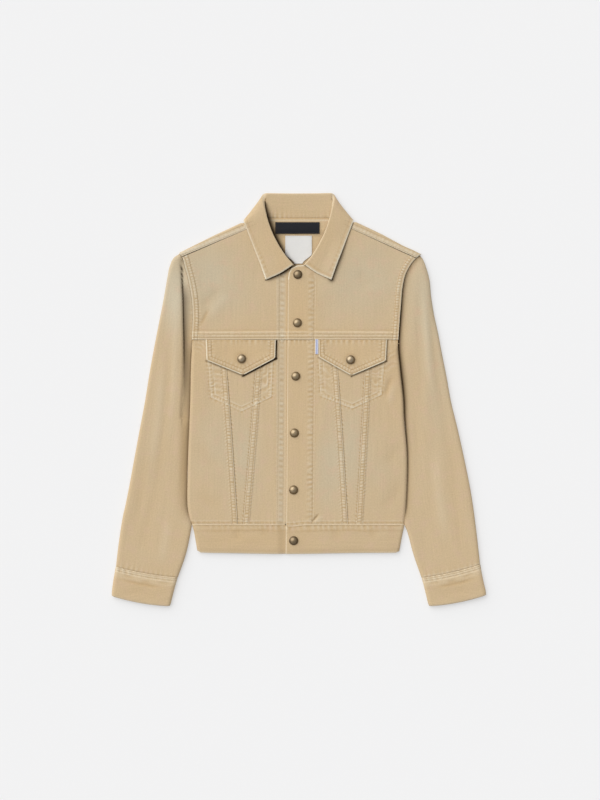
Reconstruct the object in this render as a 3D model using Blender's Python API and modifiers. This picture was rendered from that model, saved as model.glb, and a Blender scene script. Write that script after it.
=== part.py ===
"""Corduroy trucker-style jacket, buttoned and laid flat on its back.

Run with: blender --background --python part.py
Sizes are in millimetres and scaled to metres where vertices are made. +X is the wearer's left, +Y runs
towards the collar, +Z up. The origin is on the underside of the back, in the middle of the jacket.
Every cloth piece is an open surface through rows of points, made a wall with Solidify.
"""
import math

import bmesh
import bpy
from mathutils import Vector

MM = 0.001

# ---- cloth and seams ----
PLY = 1.6             # one layer of corduroy
DOUBLE_PLY = 2.0      # waistband, cuffs and collar
LABEL_PLY = 1.0
SEAM_GAP = 0.3
ARMHOLE_GAP = 0.4     # across and down, so that the slanting top of the seam stays open too
BAND_WIDTH = 9.5      # felled seam bands
BAND_RISE = 0.6

# ---- heights of the outer surfaces above the floor ----
FRONT_TOP = 6.6
UNDERLAP_TOP = 4.2    # right front edge, under the left one
PLACKET_TOP = 6.9
SLEEVE_TOP = 6.8
SLEEVE_AT_ARMHOLE = 5.2
SLEEVE_LOWEST = 4.0
WAISTBAND_TOP = 7.0
CUFF_TOP = 7.4
SHOULDER_TOP = 7.1
SIDE_SEAM_HEIGHT = 2.4
NECK_RAISE = 2.4      # the back yoke lies on the collar's fall here
ROLL_WIDTH = 6.0      # how far a side fold reaches in

# ---- levels along the body ----
CHEST_SEAM = 99.8
CHEST_BAND_RISE = 1.0
BACK_YOKE_SEAM = 112.0
WAIST_SEAM = -205.7
HEM = -252.5
LOWER_SHARES = [n / 13 for n in range(14)]   # sections of the fronts, from chest seam to waist seam
PLACKET_STITCH = 23.0
UNDERLAP_FOLD = -37.0
UNDERLAP_END = 10.0

# ---- outlines: (height y, distance from the middle x) ----
BODY_EDGE = {
    "right": ((-255, -167.6), (-231, -171.5), (-208.7, -176.1), (-195.2, -181.7), (-119.3, -184.3),
              (-43.6, -181.7), (-0.8, -179.7), (61.2, -178.5), (98.2, -175.6), (112.2, -173.9),
              (142.2, -172.8), (172.3, -175.0), (200, -182.0), (218, -187.5), (236, -193.0),
              (242, -198.0)),
    "left": ((-255, 165.3), (-231, 169.8), (-208.7, 173.9), (-182.3, 176.6), (-133, 178.9),
             (-93, 178.9), (-30.5, 173.9), (-0.8, 172.6), (49.7, 167.3), (88.9, 163.8),
             (119.1, 165.0), (158.4, 166.2), (186.3, 168.5), (209.4, 174.2), (230.2, 189.4),
             (239.4, 201.0)),
}
OUTER_SEAM = {
    "right": ((-206, -101.0), (-50, -111.4), (50, -119.1), (100, -122.5)),
    "left": ((-206, 94.7), (-50, 103.6), (50, 109.1), (100, 112.0)),
}
INNER_SEAM = {
    "right": ((-206, -92.2), (-50, -79.0), (50, -71.4), (100, -67.8)),
    "left": ((-206, 81.0), (-50, 71.4), (50, 64.0), (100, 60.0)),
}
FRONT_EDGE = {
    "right": ((-260, UNDERLAP_END), (220, UNDERLAP_END)),
    "left": ((-256, -21.3), (210, -17.7)),
}

# ---- chest yokes, a row for each section: centre-side point (x, y) and height on the armhole ----
YOKE_ROWS = {
    "right": ((10, 99.8, 99.8), (10, 112.2, 110), (10, 135, 124), (10, 160, 139), (10, 182, 154),
              (9, 198, 167), (5, 208, 178), (-3, 215, 187), (-11, 220.5, 196), (-27, 231, 206),
              (-42, 246, 216), (-55, 266, 226), (-70, 288, 235)),
    "left": ((-18.8, 99.8, 99.8), (-18.6, 112.2, 110), (-18.4, 135, 124), (-18.1, 160, 139),
             (-17.9, 182, 154), (-17.6, 199, 167), (-16.2, 209, 178), (-12, 216.5, 187),
             (-3, 221.0, 196), (12, 221.6, 205), (27, 231, 214), (42, 246, 222), (55, 266, 228),
             (70, 289.5, 233)),
}

# ---- shoulders: fold at the top, and the seam where the back yoke meets the front yoke (x, y) ----
TOP_LINE = ((-198, 242), (-172.8, 254.6), (-140.4, 270.8), (-96, 291.2), (-88, 291.6), (-80, 293),
            (-74, 295.5), (-60, 299.3), (0, 299.3), (60, 299.3), (74, 295.5), (80, 293), (86, 292),
            (94, 293.6), (137.3, 274.4), (171.9, 255.8), (192.9, 245.6), (201, 239.4))
SHOULDER_SEAM = {
    "right": ((-193.5, 235.9), (-70, 288.0)),
    "left": ((70, 289.5), (193.4, 233.9)),
}
NECK_HALF = 74.0
YOKE_COLUMNS = (-198, -180, -155, -130, -110, -96, -88, -80, -74, -58, -38, -19, 0,
                19, 38, 58, 74, 80, 86, 94, 112, 132, 156, 180, 201)
YOKE_LEVELS = (0, 0.12, 0.24, 0.36, 0.47, 0.58, 0.68, 0.77, 0.84, 0.88, 0.92, 0.96, 1.0)
RAMP_START = 268.0
RAMP_LENGTH = 14.0
RAMP_HALF_WIDTH = 112.0

# ---- sleeves: outlines (y, x), and a row for each ring: height outside, height inside, share of
# the armhole's curve that the ring keeps ----
SLEEVE_OUTER = {
    "right": ((-275.8, -302.2), (-198.8, -292.0), (-170, -285.5), (-68.8, -266.6), (-0.8, -253.8),
              (49.7, -245.7), (93.6, -237.6), (139.9, -228.4), (177, -221.4), (209.4, -215.7),
              (223.2, -212.2), (235, -206.0), (242, -198.6)),
    "left": ((-272.0, 299.2), (-198.8, 290.7), (-152.1, 283.8), (-43.6, 261.0), (-0.8, 250.6),
             (38.1, 243.7), (84.3, 234.5), (121.4, 227.5), (158.4, 219.5), (195.5, 216.0),
             (220.9, 209.1), (233, 204.0), (239.4, 201.4)),
}
SLEEVE_INNER = {
    "right": ((-293.3, -199.8), (-216.6, -178.4), (-195, -184.6), (-119, -187.2), (-44, -184.6),
              (-1, -182.6), (61, -181.2), (80, -179.6), (97.5, -176.2)),
    "left": ((-294.0, 202.3), (-212, 177.6), (-182, 178.8), (-133, 181.0), (-93, 181.0),
             (-30, 176.1), (-0.8, 174.7), (49.7, 169.4), (75, 166.8), (88.5, 164.3)),
}
ARMHOLE_END = {"right": (240.8, 97.5), "left": (238.2, 88.5)}
SLEEVE_RINGS = {
    "right": ((None, None, 1.0), (234, 94, 0.93), (220, 88, 0.78), (200, 78, 0.55), (174, 66, 0.35),
              (144, 50, 0.2), (112, 30, 0.1), (76, 6, 0.03), (38, -24, 0), (-4, -58, 0), (-50, -96, 0),
              (-98, -138, 0), (-148, -182, 0), (-190, -217, 0), (-236, -256, 0), (-275.8, -293.3, 0)),
    "left": ((None, None, 1.0), (232, 86, 0.93), (218, 80, 0.78), (198, 71, 0.55), (172, 60, 0.35),
             (142, 44, 0.2), (110, 25, 0.1), (75, 2, 0.03), (38, -26, 0), (-3, -59, 0), (-48, -97, 0),
             (-97, -138, 0), (-147, -181, 0), (-190, -216, 0), (-234, -256, 0), (-272, -294, 0)),
}
SLEEVE_STATIONS = (0.1, 0.2, 0.32, 0.44, 0.56, 0.68, 0.78, 0.86, 0.92)
VALLEY = {  # deep fold in the sleeve beside the body: (x, y) along its bottom
    "right": ((-194, 228), (-192, 177), (-191, 131), (-187, 70), (-184, 0)),
    "left": (),
}
CUFF_SEAM_SAG = 2.2    # the cuff seam bends down this much in its middle
CUFF_SAG_START = -100.0
VALLEY_WIDTH = 7.0
VALLEY_DEPTH = 2.6

# ---- cuffs, a row for each section: outer corner (x, y), inner corner (x, y), sag in between ----
CUFF_ROWS = {
    "right": ((-302.6, -276.4, -200.3, -294.0, 2.4), (-305.0, -290.0, -204.5, -309.0, 2.6),
              (-307.4, -305.0, -208.6, -324.5, 2.8), (-308.9, -318.0, -211.9, -337.5, 3.0),
              (-307.6, -323.0, -213.4, -339.9, 3.2)),
    "left": ((299.6, -272.6, 202.8, -294.7, 2.4), (302.2, -288.0, 206.6, -309.0, 2.6),
             (305.6, -304.0, 210.4, -324.5, 2.8), (308.5, -316.6, 213.6, -337.5, 3.0),
             (307.4, -321.4, 215.2, -339.9, 3.2)),
}
CUFF_STATIONS = (0.12, 0.26, 0.42, 0.58, 0.74, 0.88)

# ---- collar, a row for each section from the middle of the back to the front, on one side:
# neck seam x, y, z; fold x, y, z; turn of the fold; middle of the fall x, y, z; edge x, y, z ----
COLLAR_ROLL = 2.1
COLLAR_CORNER_ROLL = 1.0   # the fold opens this much more where it turns the neck's corner
COLLAR_LEFT_SCALE = 0.975  # the left half lies a little closer to the middle
COLLAR_ROWS = (
    (0.0, 299.7, 3.6, 0.0, 339.0, 3.2, 90, 0.0, 315, 1.0, 0.0, 288.0, 1.0),
    (18.0, 299.7, 3.6, 18.0, 339.1, 3.2, 90, 19.0, 315, 1.0, 23.0, 288.0, 1.0),
    (35.0, 299.7, 3.6, 35.0, 339.2, 3.2, 86, 38.0, 315, 1.0, 44.0, 288.0, 1.0),
    (49.0, 300.0, 3.7, 49.0, 339.5, 3.5, 66, 53.0, 316, 1.0, 62.0, 288.5, 1.0),
    (60.0, 300.6, 3.9, 55.0, 339.2, 4.1, 38, 65.5, 315, 1.1, 77.0, 289.5, 1.0),
    (66.5, 300.8, 4.2, 57.9, 336.8, 4.8, 12, 73.0, 315, 2.2, 87.0, 291.5, 1.2),
    (69.6, 299.6, 4.7, 58.2, 331.8, 5.6, -16, 75.5, 314, 5.0, 90.9, 295.4, 4.6),
    (69.0, 294.4, 5.3, 57.2, 325.0, 6.6, -46, 74.0, 307, 8.6, 89.8, 291.2, 8.9),
    (67.4, 288.4, 5.8, 55.6, 315.0, 7.5, -74, 71.5, 298, 9.7, 86.8, 283.5, 9.0),
    (62.6, 281.2, 5.8, 52.6, 302.0, 7.8, -86, 67.5, 287, 9.7, 82.6, 272.6, 8.8),
    (57.4, 273.0, 5.8, 47.8, 287.0, 7.9, -90, 62.8, 274, 9.6, 78.2, 261.2, 8.6),
    (52.0, 265.2, 5.8, 42.2, 273.0, 7.9, -90, 57.8, 261, 9.5, 73.4, 248.8, 8.4),
    (45.2, 253.8, 5.8, 35.2, 259.4, 7.9, -90, 51.8, 248, 9.5, 68.6, 236.7, 8.4),
    (37.0, 243.6, 5.8, 27.8, 246.6, 7.9, -90, 45.6, 235, 9.4, 64.0, 225.2, 8.4),
    (25.6, 232.6, 5.8, 19.4, 234.6, 7.9, -90, 38.8, 222.5, 9.4, 59.4, 212.6, 8.4),
    (13.0, 223.8, 5.9, 8.6, 222.6, 7.9, -90, 31.0, 209.5, 9.4, 54.4, 198.4, 8.4),
)

# ---- pocket flaps: corners (x, y), from the centre-side top round the point ----
FLAP_TOP_HEIGHT = 8.6
FLAP_PLY = 1.7
FLAP_LIFT = 1.6       # the edge away from the light stands off the panel
FLAPS = {
    "right": {"top": (-153.1, -37.6), "shoulder": (-151.8, 65.0, -38.4, 68.5), "point": (-92.1, 40.6)},
    "left": {"top": (33.0, 144.8), "shoulder": (33.2, 70.1, 142.9, 64.0), "point": (86.6, 39.9)},
}
FLAP_TOP = 99.3

# ---- buttons and labels ----
BUTTON_RADIUS = 7.5
BUTTON_HEIGHT = 4.6
FRONT_BUTTONS = ((-2.0, 206.3), (-2.6, 126.6), (-5.3, 38.6), (-7.6, -55.1), (-8.9, -149.0),
                 (-8.7, -232.7))
FLAP_BUTTONS = {"right": (-94.5, 67.3), "left": (85.0, 65.7)}
NECK_LABEL = (-38.9, 34.0, 273.6, 292.6)
SIZE_LABEL = {"side": 21.9, "top": 270.4, "taper": 241.0, "bottom": 224.4, "tip": 6.5, "middle": -0.6}
FLAP_TAB = (27.0, 32.4, 75.0, 99.2)

# ---- largest creases on the fronts: from x, y to x, y, half width, depth ----
CREASES = (
    (-163, 148, -127, 189, 9, 1.0),
    (154, 40, 140, -1, 8, 1.4),
    (-150, 30, -128, -10, 10, 0.8),
    (22, -195, 34, -182, 7, 1.2),
    (120, 180, 96, 214, 10, 0.8),
)


def smooth(value):
    """Soft step from 0 to 1."""
    value = min(max(value, 0.0), 1.0)
    return value * value * (3 - 2 * value)


def mix(low, high, share):
    return low + (high - low) * share


def curve(rows):
    """Function through (key, value) rows with rising keys, bending softly at each row."""
    keys = [row[0] for row in rows]
    values = [row[1] for row in rows]
    runs = [(values[i + 1] - values[i]) / (keys[i + 1] - keys[i]) for i in range(len(rows) - 1)]
    slopes = [runs[0]] + [(a + b) / 2 for a, b in zip(runs, runs[1:])] + [runs[-1]]

    def at(key):
        if key <= keys[0]:
            return values[0] + slopes[0] * (key - keys[0])
        if key >= keys[-1]:
            return values[-1] + slopes[-1] * (key - keys[-1])
        i = max(n for n in range(len(keys) - 1) if keys[n] <= key)
        span = keys[i + 1] - keys[i]
        t = (key - keys[i]) / span
        return ((1 + 2 * t) * (1 - t) ** 2 * values[i] + t * (1 - t) ** 2 * span * slopes[i]
                + t * t * (3 - 2 * t) * values[i + 1] + t * t * (t - 1) * span * slopes[i + 1])

    return at


def straight(rows):
    """Function through (key, value) rows with straight runs between them."""
    def at(key):
        i = max([n for n in range(len(rows) - 1) if rows[n][0] <= key] or [0])
        (low, first), (high, last) = rows[i], rows[i + 1]
        return mix(first, last, (key - low) / (high - low))

    return at


BODY = {side: curve(rows) for side, rows in BODY_EDGE.items()}
OUTER = {side: curve(rows) for side, rows in OUTER_SEAM.items()}
INNER = {side: curve(rows) for side, rows in INNER_SEAM.items()}
EDGE = {side: straight(rows) for side, rows in FRONT_EDGE.items()}
TOP = straight(TOP_LINE)
SIGN = {"right": -1.0, "left": 1.0}


def distance_to(x, y, x1, y1, x2, y2):
    """Distance from a point to a straight stretch."""
    along = ((x - x1) * (x2 - x1) + (y - y1) * (y2 - y1)) / ((x2 - x1) ** 2 + (y2 - y1) ** 2)
    along = min(max(along, 0.0), 1.0)
    return math.hypot(x - mix(x1, x2, along), y - mix(y1, y2, along))


def trough(distance, width, depth):
    return depth * math.exp(-(distance / width) ** 2)


def front_height(side, x, y):
    """Outer surface of the fronts, without their raised bands."""
    height = FRONT_TOP
    if side == "right":
        height = mix(FRONT_TOP, UNDERLAP_TOP, smooth((x - UNDERLAP_FOLD) / 14))
    elif x < PLACKET_STITCH:
        height = mix(PLACKET_TOP, FRONT_TOP, smooth((x - PLACKET_STITCH + 3) / 3))
    for x1, y1, x2, y2, width, depth in CREASES:
        height -= trough(distance_to(x, y, x1, y1, x2, y2), width, depth)
    return height


def waist_at(side, x):
    """Height of the waist seam on the fronts."""
    if side == "right":
        return WAIST_SEAM
    return WAIST_SEAM - 2.6 * math.exp(-((x + 14) / 16) ** 2)


def hem_at(x):
    """Bottom edge of the waistband: rounded off at the two sides."""
    corner = max(abs(x) - 158.0, 0.0)
    return HEM - 2.0 * math.exp(-((x + 20) / 90) ** 2) + 0.035 * corner ** 2


# ---- making meshes ----
def new_collection(name):
    collection = bpy.data.collections.new(name)
    bpy.context.scene.collection.children.link(collection)
    return collection


def material(name, color, roughness, metallic=0.0):
    made = bpy.data.materials.new(name)
    made.use_nodes = True
    shader = made.node_tree.nodes["Principled BSDF"]
    shader.inputs["Base Color"].default_value = (*color, 1.0)
    shader.inputs["Roughness"].default_value = roughness
    shader.inputs["Metallic"].default_value = metallic
    return made


def place_object(name, mesh, finish):
    made = bpy.data.objects.new(name, mesh)
    made.data.materials.append(finish)
    JACKET.objects.link(made)
    return made


def add_row(bm, points):
    return [bm.verts.new(Vector(point) * MM) for point in points]


def join_rows(bm, low, high, ring=False):
    """Quads between two rows of vertices; a ring's last vertex meets its first."""
    count = len(low) if ring else len(low) - 1
    for i in range(count):
        j = (i + 1) % len(low)
        bm.faces.new((low[i], low[j], high[j], high[i]))


def wall(name, bm, finish, ply, offset=-1.0):
    """Turn an open surface into cloth of one thickness; offset -1 grows it inwards, 0 both ways."""
    mesh = bpy.data.meshes.new(name)
    bm.to_mesh(mesh)
    bm.free()
    mesh.shade_smooth()
    mesh.set_sharp_from_angle(angle=math.radians(40))
    made = place_object(name, mesh, finish)
    solid = made.modifiers.new("Cloth", "SOLIDIFY")
    solid.thickness = ply * MM
    solid.offset = offset
    solid.use_even_offset = offset < 0
    return made


def sheet(name, rows, finish, ply, offset=-1.0, ring=False):
    """Cloth through rows of points in millimetres."""
    bm = bmesh.new()
    made = [add_row(bm, row) for row in rows]
    for low, high in zip(made, made[1:]):
        join_rows(bm, low, high, ring)
    return wall(name, bm, finish, ply, offset)


def fold_points(count=5):
    """(reach in from the extreme, rise from -1 to 1) round a side fold, bottom to top."""
    for i in range(count):
        angle = math.radians(-90 + 180 * i / (count - 1))
        yield 1 - math.cos(angle), math.sin(angle)


# ---- fronts ----
def lower_point(side, x, share, rise=0.0):
    """Point on a lower front panel; share 0 is the chest seam and 1 the waist seam."""
    y = mix(CHEST_SEAM - SEAM_GAP / 2, waist_at(side, x) + SEAM_GAP / 2, share)
    return (x, y, front_height(side, x, y) + rise)


def band_fade(y):
    """The V seams' bands flatten out under the flaps and at the waist seam."""
    return smooth((44 - y) / 10) * smooth((y - WAIST_SEAM - 2) / 8)


def front_outer(side):
    """Side panel: rolls down to the side seam, with a felled band along the V seam."""
    sign = SIGN[side]
    rows = []
    for share in LOWER_SHARES:
        y = mix(CHEST_SEAM, WAIST_SEAM, share)
        edge = BODY[side](y)
        seam = OUTER[side](y) + sign * SEAM_GAP / 2
        top = lower_point(side, edge, share)[2]
        low = mix(top - 0.01, SIDE_SEAM_HEIGHT, smooth((CHEST_SEAM - 4 - y) / 16))
        row = []
        for turn in (0, 22, 45, 68):
            angle = math.radians(turn)
            x = edge - sign * ROLL_WIDTH * (1 - math.cos(angle))
            row.append((x, y, mix(low, top, math.sin(angle))))
        inner = edge - sign * ROLL_WIDTH
        band = seam + sign * BAND_WIDTH
        foot = band + sign * 1.6
        for step in (0, 0.25, 0.5, 0.75):
            row.append(lower_point(side, mix(inner, foot, step), share))
        row.append(lower_point(side, foot, share))
        row.append(lower_point(side, band, share, BAND_RISE * band_fade(y)))
        row.append(lower_point(side, seam, share, BAND_RISE * band_fade(y)))
        rows.append(row)
    sheet("front_outer_" + side, facing_up(rows), CORDUROY, PLY)


def front_mid(side):
    """Narrow panel between the two V seams."""
    sign = SIGN[side]
    rows = []
    for share in LOWER_SHARES:
        y = mix(CHEST_SEAM, WAIST_SEAM, share)
        first = OUTER[side](y) - sign * SEAM_GAP / 2
        last = INNER[side](y) + sign * SEAM_GAP / 2
        rows.append([lower_point(side, mix(first, last, step / 3), share) for step in range(4)])
    sheet("front_mid_" + side, facing_up(rows), CORDUROY, PLY)


def front_inner(side):
    """Centre panel up to the front edge, with a felled band along the V seam."""
    sign = SIGN[side]
    rows = []
    for share in LOWER_SHARES:
        y = mix(CHEST_SEAM, WAIST_SEAM, share)
        seam = INNER[side](y) - sign * SEAM_GAP / 2
        band = seam - sign * BAND_WIDTH
        foot = band - sign * 1.6
        end = EDGE[side](y)
        row = [lower_point(side, seam, share, BAND_RISE * band_fade(y)),
               lower_point(side, band, share, BAND_RISE * band_fade(y)),
               lower_point(side, foot, share)]
        row += [lower_point(side, x, share) for x in centre_columns(side, foot, end)]
        rows.append(row)
    sheet("front_inner_" + side, facing_up(rows), CORDUROY, PLY)


def centre_columns(side, start, end):
    """Columns from a panel towards the front edge, with the placket's own folds."""
    if side == "right":
        return [mix(start, UNDERLAP_FOLD, 0.55), UNDERLAP_FOLD, UNDERLAP_FOLD + 5, UNDERLAP_FOLD + 10,
                UNDERLAP_FOLD + 15, -6.0, end]
    return [mix(start, PLACKET_STITCH, 0.5), PLACKET_STITCH + 1.5, PLACKET_STITCH - 1.5, 8.0, -8.0, end]


def facing_up(rows):
    """Order rows and columns so that the surface's outer side is up."""
    (ax, ay, _), (bx, by, _) = rows[0][0], rows[0][-1]
    cx, cy, _ = rows[-1][0]
    turn = (bx - ax) * (cy - ay) - (by - ay) * (cx - ax)
    return rows if turn > 0 else rows[::-1]


def front_yoke(side):
    """Chest yoke: from the chest seam to the shoulder seam and the neckline."""
    first, band_top = YOKE_ROWS[side][:2]
    last = YOKE_ROWS[side][-1]
    table = [(first[0], first[1] + SEAM_GAP / 2, first[2] + SEAM_GAP / 2, CHEST_BAND_RISE),
             (*band_top, CHEST_BAND_RISE), (band_top[0], band_top[1] + 1.5, band_top[2] + 1.5, 0.0)]
    table += [(*row, 0.0) for row in YOKE_ROWS[side][2:-1]]
    table.append((last[0], last[1] - SEAM_GAP, last[2] - SEAM_GAP, 0.0))
    rows = []
    for x, y, armhole_y, rise in table:
        end_x = BODY[side](armhole_y)
        length = math.hypot(end_x - x, armhole_y - y)
        row = []
        for step in yoke_columns(side, x, length):
            px = mix(x, end_x, step / length)
            py = mix(y, armhole_y, step / length)
            at_armhole = smooth((step - length + BAND_WIDTH + 1) / 1.5)
            row.append((px, py, front_height(side, px, py) + max(rise, BAND_RISE * at_armhole)))
        rows.append(row)
    sheet("front_yoke_" + side, facing_up(rows), CORDUROY, PLY)


def yoke_columns(side, x, length):
    """Distances from the centre-side point along a section of the yoke."""
    placket = max(abs(UNDERLAP_FOLD - x) if side == "right" else PLACKET_STITCH - x, 14.0)
    placket = min(placket, 47.0)
    if side == "right":
        near = [0, placket * 0.4, placket * 0.68, placket * 0.84, placket]
    else:
        near = [0, placket * 0.5, placket - 1.5, placket + 1.5]
    last = length - BAND_WIDTH - 2
    near += [mix(near[-1], last, step / 6) for step in range(1, 6)]
    return near + [last, length - BAND_WIDTH, length]


# ---- back ----
def back():
    """Lower back panel, flat on the floor."""
    rows = []
    for n in range(15):
        y = mix(WAIST_SEAM + SEAM_GAP / 2, BACK_YOKE_SEAM - SEAM_GAP / 2, n / 14)
        first = BODY["right"](y)
        last = BODY["left"](y)
        rows.append([(mix(last, first, step / 4), y, 0.0) for step in range(5)])
    sheet("back", rows, CORDUROY, PLY)


def under_height(x, y):
    """Underside of the back yoke, raised near the neck to leave room for the collar's fall."""
    return NECK_RAISE * smooth((y - RAMP_START) / RAMP_LENGTH) * smooth((RAMP_HALF_WIDTH - abs(x)) / 14)


def shoulder_seam_at(side, share):
    """Point on the seam between the back yoke and the front yoke; share 0 is at the armhole."""
    rows = SHOULDER_SEAM[side]
    armhole, neck = (rows[0], rows[-1]) if side == "right" else (rows[-1], rows[0])
    return mix(armhole[0], neck[0], share), mix(armhole[1], neck[1], share)


def back_yoke():
    """Back yoke: flat up to the neck seam, folded forward over each shoulder to the front."""
    first, last = YOKE_COLUMNS[0], YOKE_COLUMNS[-1]
    bm = bmesh.new()
    columns = []
    for top_x in YOKE_COLUMNS:
        share = (top_x - first) / (last - first)
        top_y = TOP(top_x)
        side = "right" if top_x < 0 else "left"
        strip = None
        reach = (top_x, top_y)
        if abs(top_x) >= NECK_HALF:
            outer_end = YOKE_COLUMNS[0] if side == "right" else YOKE_COLUMNS[-1]
            along = (top_x - outer_end) / (SIGN[side] * NECK_HALF - outer_end)
            seam = shoulder_seam_at(side, along)
            length = math.hypot(seam[0] - top_x, seam[1] - top_y)
            way = ((seam[0] - top_x) / length, (seam[1] - top_y) / length)
            inset = min(ROLL_WIDTH - 1, 0.45 * length)
            reach = (top_x + way[0] * inset, top_y + way[1] * inset)
            strip = (top_x, top_y, way, inset, length)
        columns.append((share, reach, strip))
    low_y = BACK_YOKE_SEAM + SEAM_GAP / 2
    ends = (columns[0][1][1], columns[-1][1][1])
    tops = (BODY["right"](ends[0]), BODY["left"](ends[1]))
    flat = []
    for share, reach, _ in columns:
        column = []
        for level in YOKE_LEVELS:
            low_x = BODY["right"](mix(low_y, ends[0], level))
            high_x = BODY["left"](mix(low_y, ends[1], level))
            x = mix(low_x, high_x, share) + level * (reach[0] - mix(*tops, share))
            y = mix(low_y, reach[1], level)
            if share in (0, 1):
                x = BODY["left" if share else "right"](y)
            column.append((x, y, under_height(x, y)))
        flat.append(column)
    grid = [add_row(bm, column) for column in flat]
    for low, high in zip(grid, grid[1:]):
        join_rows(bm, low, high)
    for side in ("right", "left"):
        picked = [n for n, (_, _, strip) in enumerate(columns) if strip and SIGN[side] * strip[0] > 0]
        earlier = [grid[n][-1] for n in picked]
        for reach_in, rise in list(fold_points(7))[1:] + [(None, 1.0)]:
            row = []
            for n in picked:
                x, y, way, inset, length = columns[n][2]
                run = length - SEAM_GAP if reach_in is None else inset * reach_in
                height = mix(flat[n][-1][2], SHOULDER_TOP, (rise + 1) / 2)
                x, y = x + way[0] * run, y + way[1] * run
                if n in (0, len(columns) - 1):
                    x = BODY[side](y)
                row.append((x, y, height))
            later = add_row(bm, row)
            join_rows(bm, later, earlier)
            earlier = later
    wall("back_yoke", bm, CORDUROY, PLY)


# ---- waistband ----
def waistband():
    """One doubled band all round; its left end lies over its right end in front."""
    under, over = UNDERLAP_TOP + 0.5, WAISTBAND_TOP
    path = [(UNDERLAP_END, under), (-4, under), (UNDERLAP_FOLD + 15, under),
            (UNDERLAP_FOLD + 7, mix(under, over, 0.5)), (UNDERLAP_FOLD, over), (-60, over),
            (-95, over), (-130, over)]
    path += [("right", reach, rise) for reach, rise in reversed(list(fold_points()))]
    path += [(-120, 0.0), (-60, 0.0), (0, 0.0), (60, 0.0), (120, 0.0)]
    path += [("left", reach, rise) for reach, rise in fold_points()]
    path += [(130, over), (95, over), (70, over), (46.5, over), (PLACKET_STITCH, over), (8, over),
             (-8, over), (-19.9, over)]
    rows = []
    for level in (0, 0.25, 0.5, 0.75, 1.0):
        row = []
        for n, stop in enumerate(path):
            guess = mix(WAIST_SEAM, HEM, level)
            if len(stop) == 3:
                side, reach, rise = stop
                x = BODY[side](guess) - SIGN[side] * ROLL_WIDTH * reach
                z = WAISTBAND_TOP / 2 * (1 + rise)
            else:
                x, z = stop
                edge = BODY["right" if x < 0 else "left"]
                if abs(x) > 60:
                    x *= edge(guess) / edge(WAIST_SEAM)
                if n == len(path) - 1:
                    x = EDGE["left"](guess)
            top = WAIST_SEAM if z == 0 or x < -22 else waist_at("left", x)
            row.append((x, mix(top - SEAM_GAP - 0.05, hem_at(x), level), z))
        rows.append(row)
    sheet("waistband", rows, CORDUROY, DOUBLE_PLY)


# ---- sleeves and cuffs ----
def valley_depth(side, x, y):
    """How deep the fold beside the body is at a point of the sleeve."""
    points = VALLEY[side]
    if not points:
        return 0.0
    near = min(distance_to(x, y, *a, *b) for a, b in zip(points, points[1:]))
    return trough(near, VALLEY_WIDTH, VALLEY_DEPTH)


def sleeve_height(side, x, y):
    """Outer surface of the sleeve's front: low beside the body, with a valley."""
    beside = trough(abs(x - BODY[side](y)), 13.0, SLEEVE_TOP - SLEEVE_AT_ARMHOLE)
    beside *= smooth((y + 60) / 120)
    return max(SLEEVE_TOP - beside - valley_depth(side, x, y), SLEEVE_LOWEST)


def ring_plan(side, ring, share):
    """Plan point of a sleeve ring; share 0 is the outer edge and 1 the inner edge."""
    sign = SIGN[side]
    top, under = ARMHOLE_END[side]
    outer_y, inner_y, kept = ring
    if outer_y is None:
        y = mix(top, under, share)
        return BODY[side](y) + sign * ARMHOLE_GAP, y - ARMHOLE_GAP
    outer = (SLEEVE_CURVES[side][0](outer_y), outer_y)
    inner = (SLEEVE_CURVES[side][1](inner_y), inner_y)
    arm_y = mix(top, under, share)
    start, end = BODY[side](top), BODY[side](under)
    bulge = BODY[side](arm_y) - mix(start, end, share)
    sag = CUFF_SEAM_SAG * smooth((CUFF_SAG_START - outer_y) / 176) * 4 * share * (1 - share)
    return mix(outer[0], inner[0], share) + kept * bulge, mix(outer[1], inner[1], share) - sag


def tube_ring(plan, stations, height, width):
    """Points of a flattened tube's ring: outer fold, front, inner fold, back."""
    ring = []
    for reach, rise in fold_points():
        share = ROLL_WIDTH * reach / width
        x, y = plan(share)
        ring.append((x, y, height(x, y) / 2 * (1 + rise)))
    for share in stations:
        x, y = plan(share)
        ring.append((x, y, height(x, y)))
    for reach, rise in reversed(list(fold_points())):
        share = 1 - ROLL_WIDTH * reach / width
        x, y = plan(share)
        ring.append((x, y, height(x, y) / 2 * (1 + rise)))
    for share in reversed(stations):
        x, y = plan(share)
        ring.append((x, y, 0.0))
    return ring


def sleeve(side):
    rows = []
    for ring in SLEEVE_RINGS[side]:
        ends = [ring_plan(side, ring, share) for share in (0, 1)]
        width = math.dist(*ends)
        rows.append(tube_ring(lambda share: ring_plan(side, ring, share), SLEEVE_STATIONS,
                              lambda x, y: sleeve_height(side, x, y), width))
    sheet("sleeve_" + side, outward(rows, side), CORDUROY, PLY, ring=True)


def outward(rows, side):
    """Order the rings so that the tube's outer side is out."""
    return rows if side == "left" else rows[::-1]


def cuff(side):
    rows = []
    for outer_x, outer_y, inner_x, inner_y, sag in CUFF_ROWS[side]:
        def plan(share):
            dip = sag * 4 * share * (1 - share)
            return mix(outer_x, inner_x, share), mix(outer_y, inner_y, share) - dip
        width = math.hypot(inner_x - outer_x, inner_y - outer_y)
        rows.append(tube_ring(plan, CUFF_STATIONS, lambda x, y: CUFF_TOP, width))
    sheet("cuff_" + side, outward(rows, side), CORDUROY, DOUBLE_PLY, ring=True)


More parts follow.
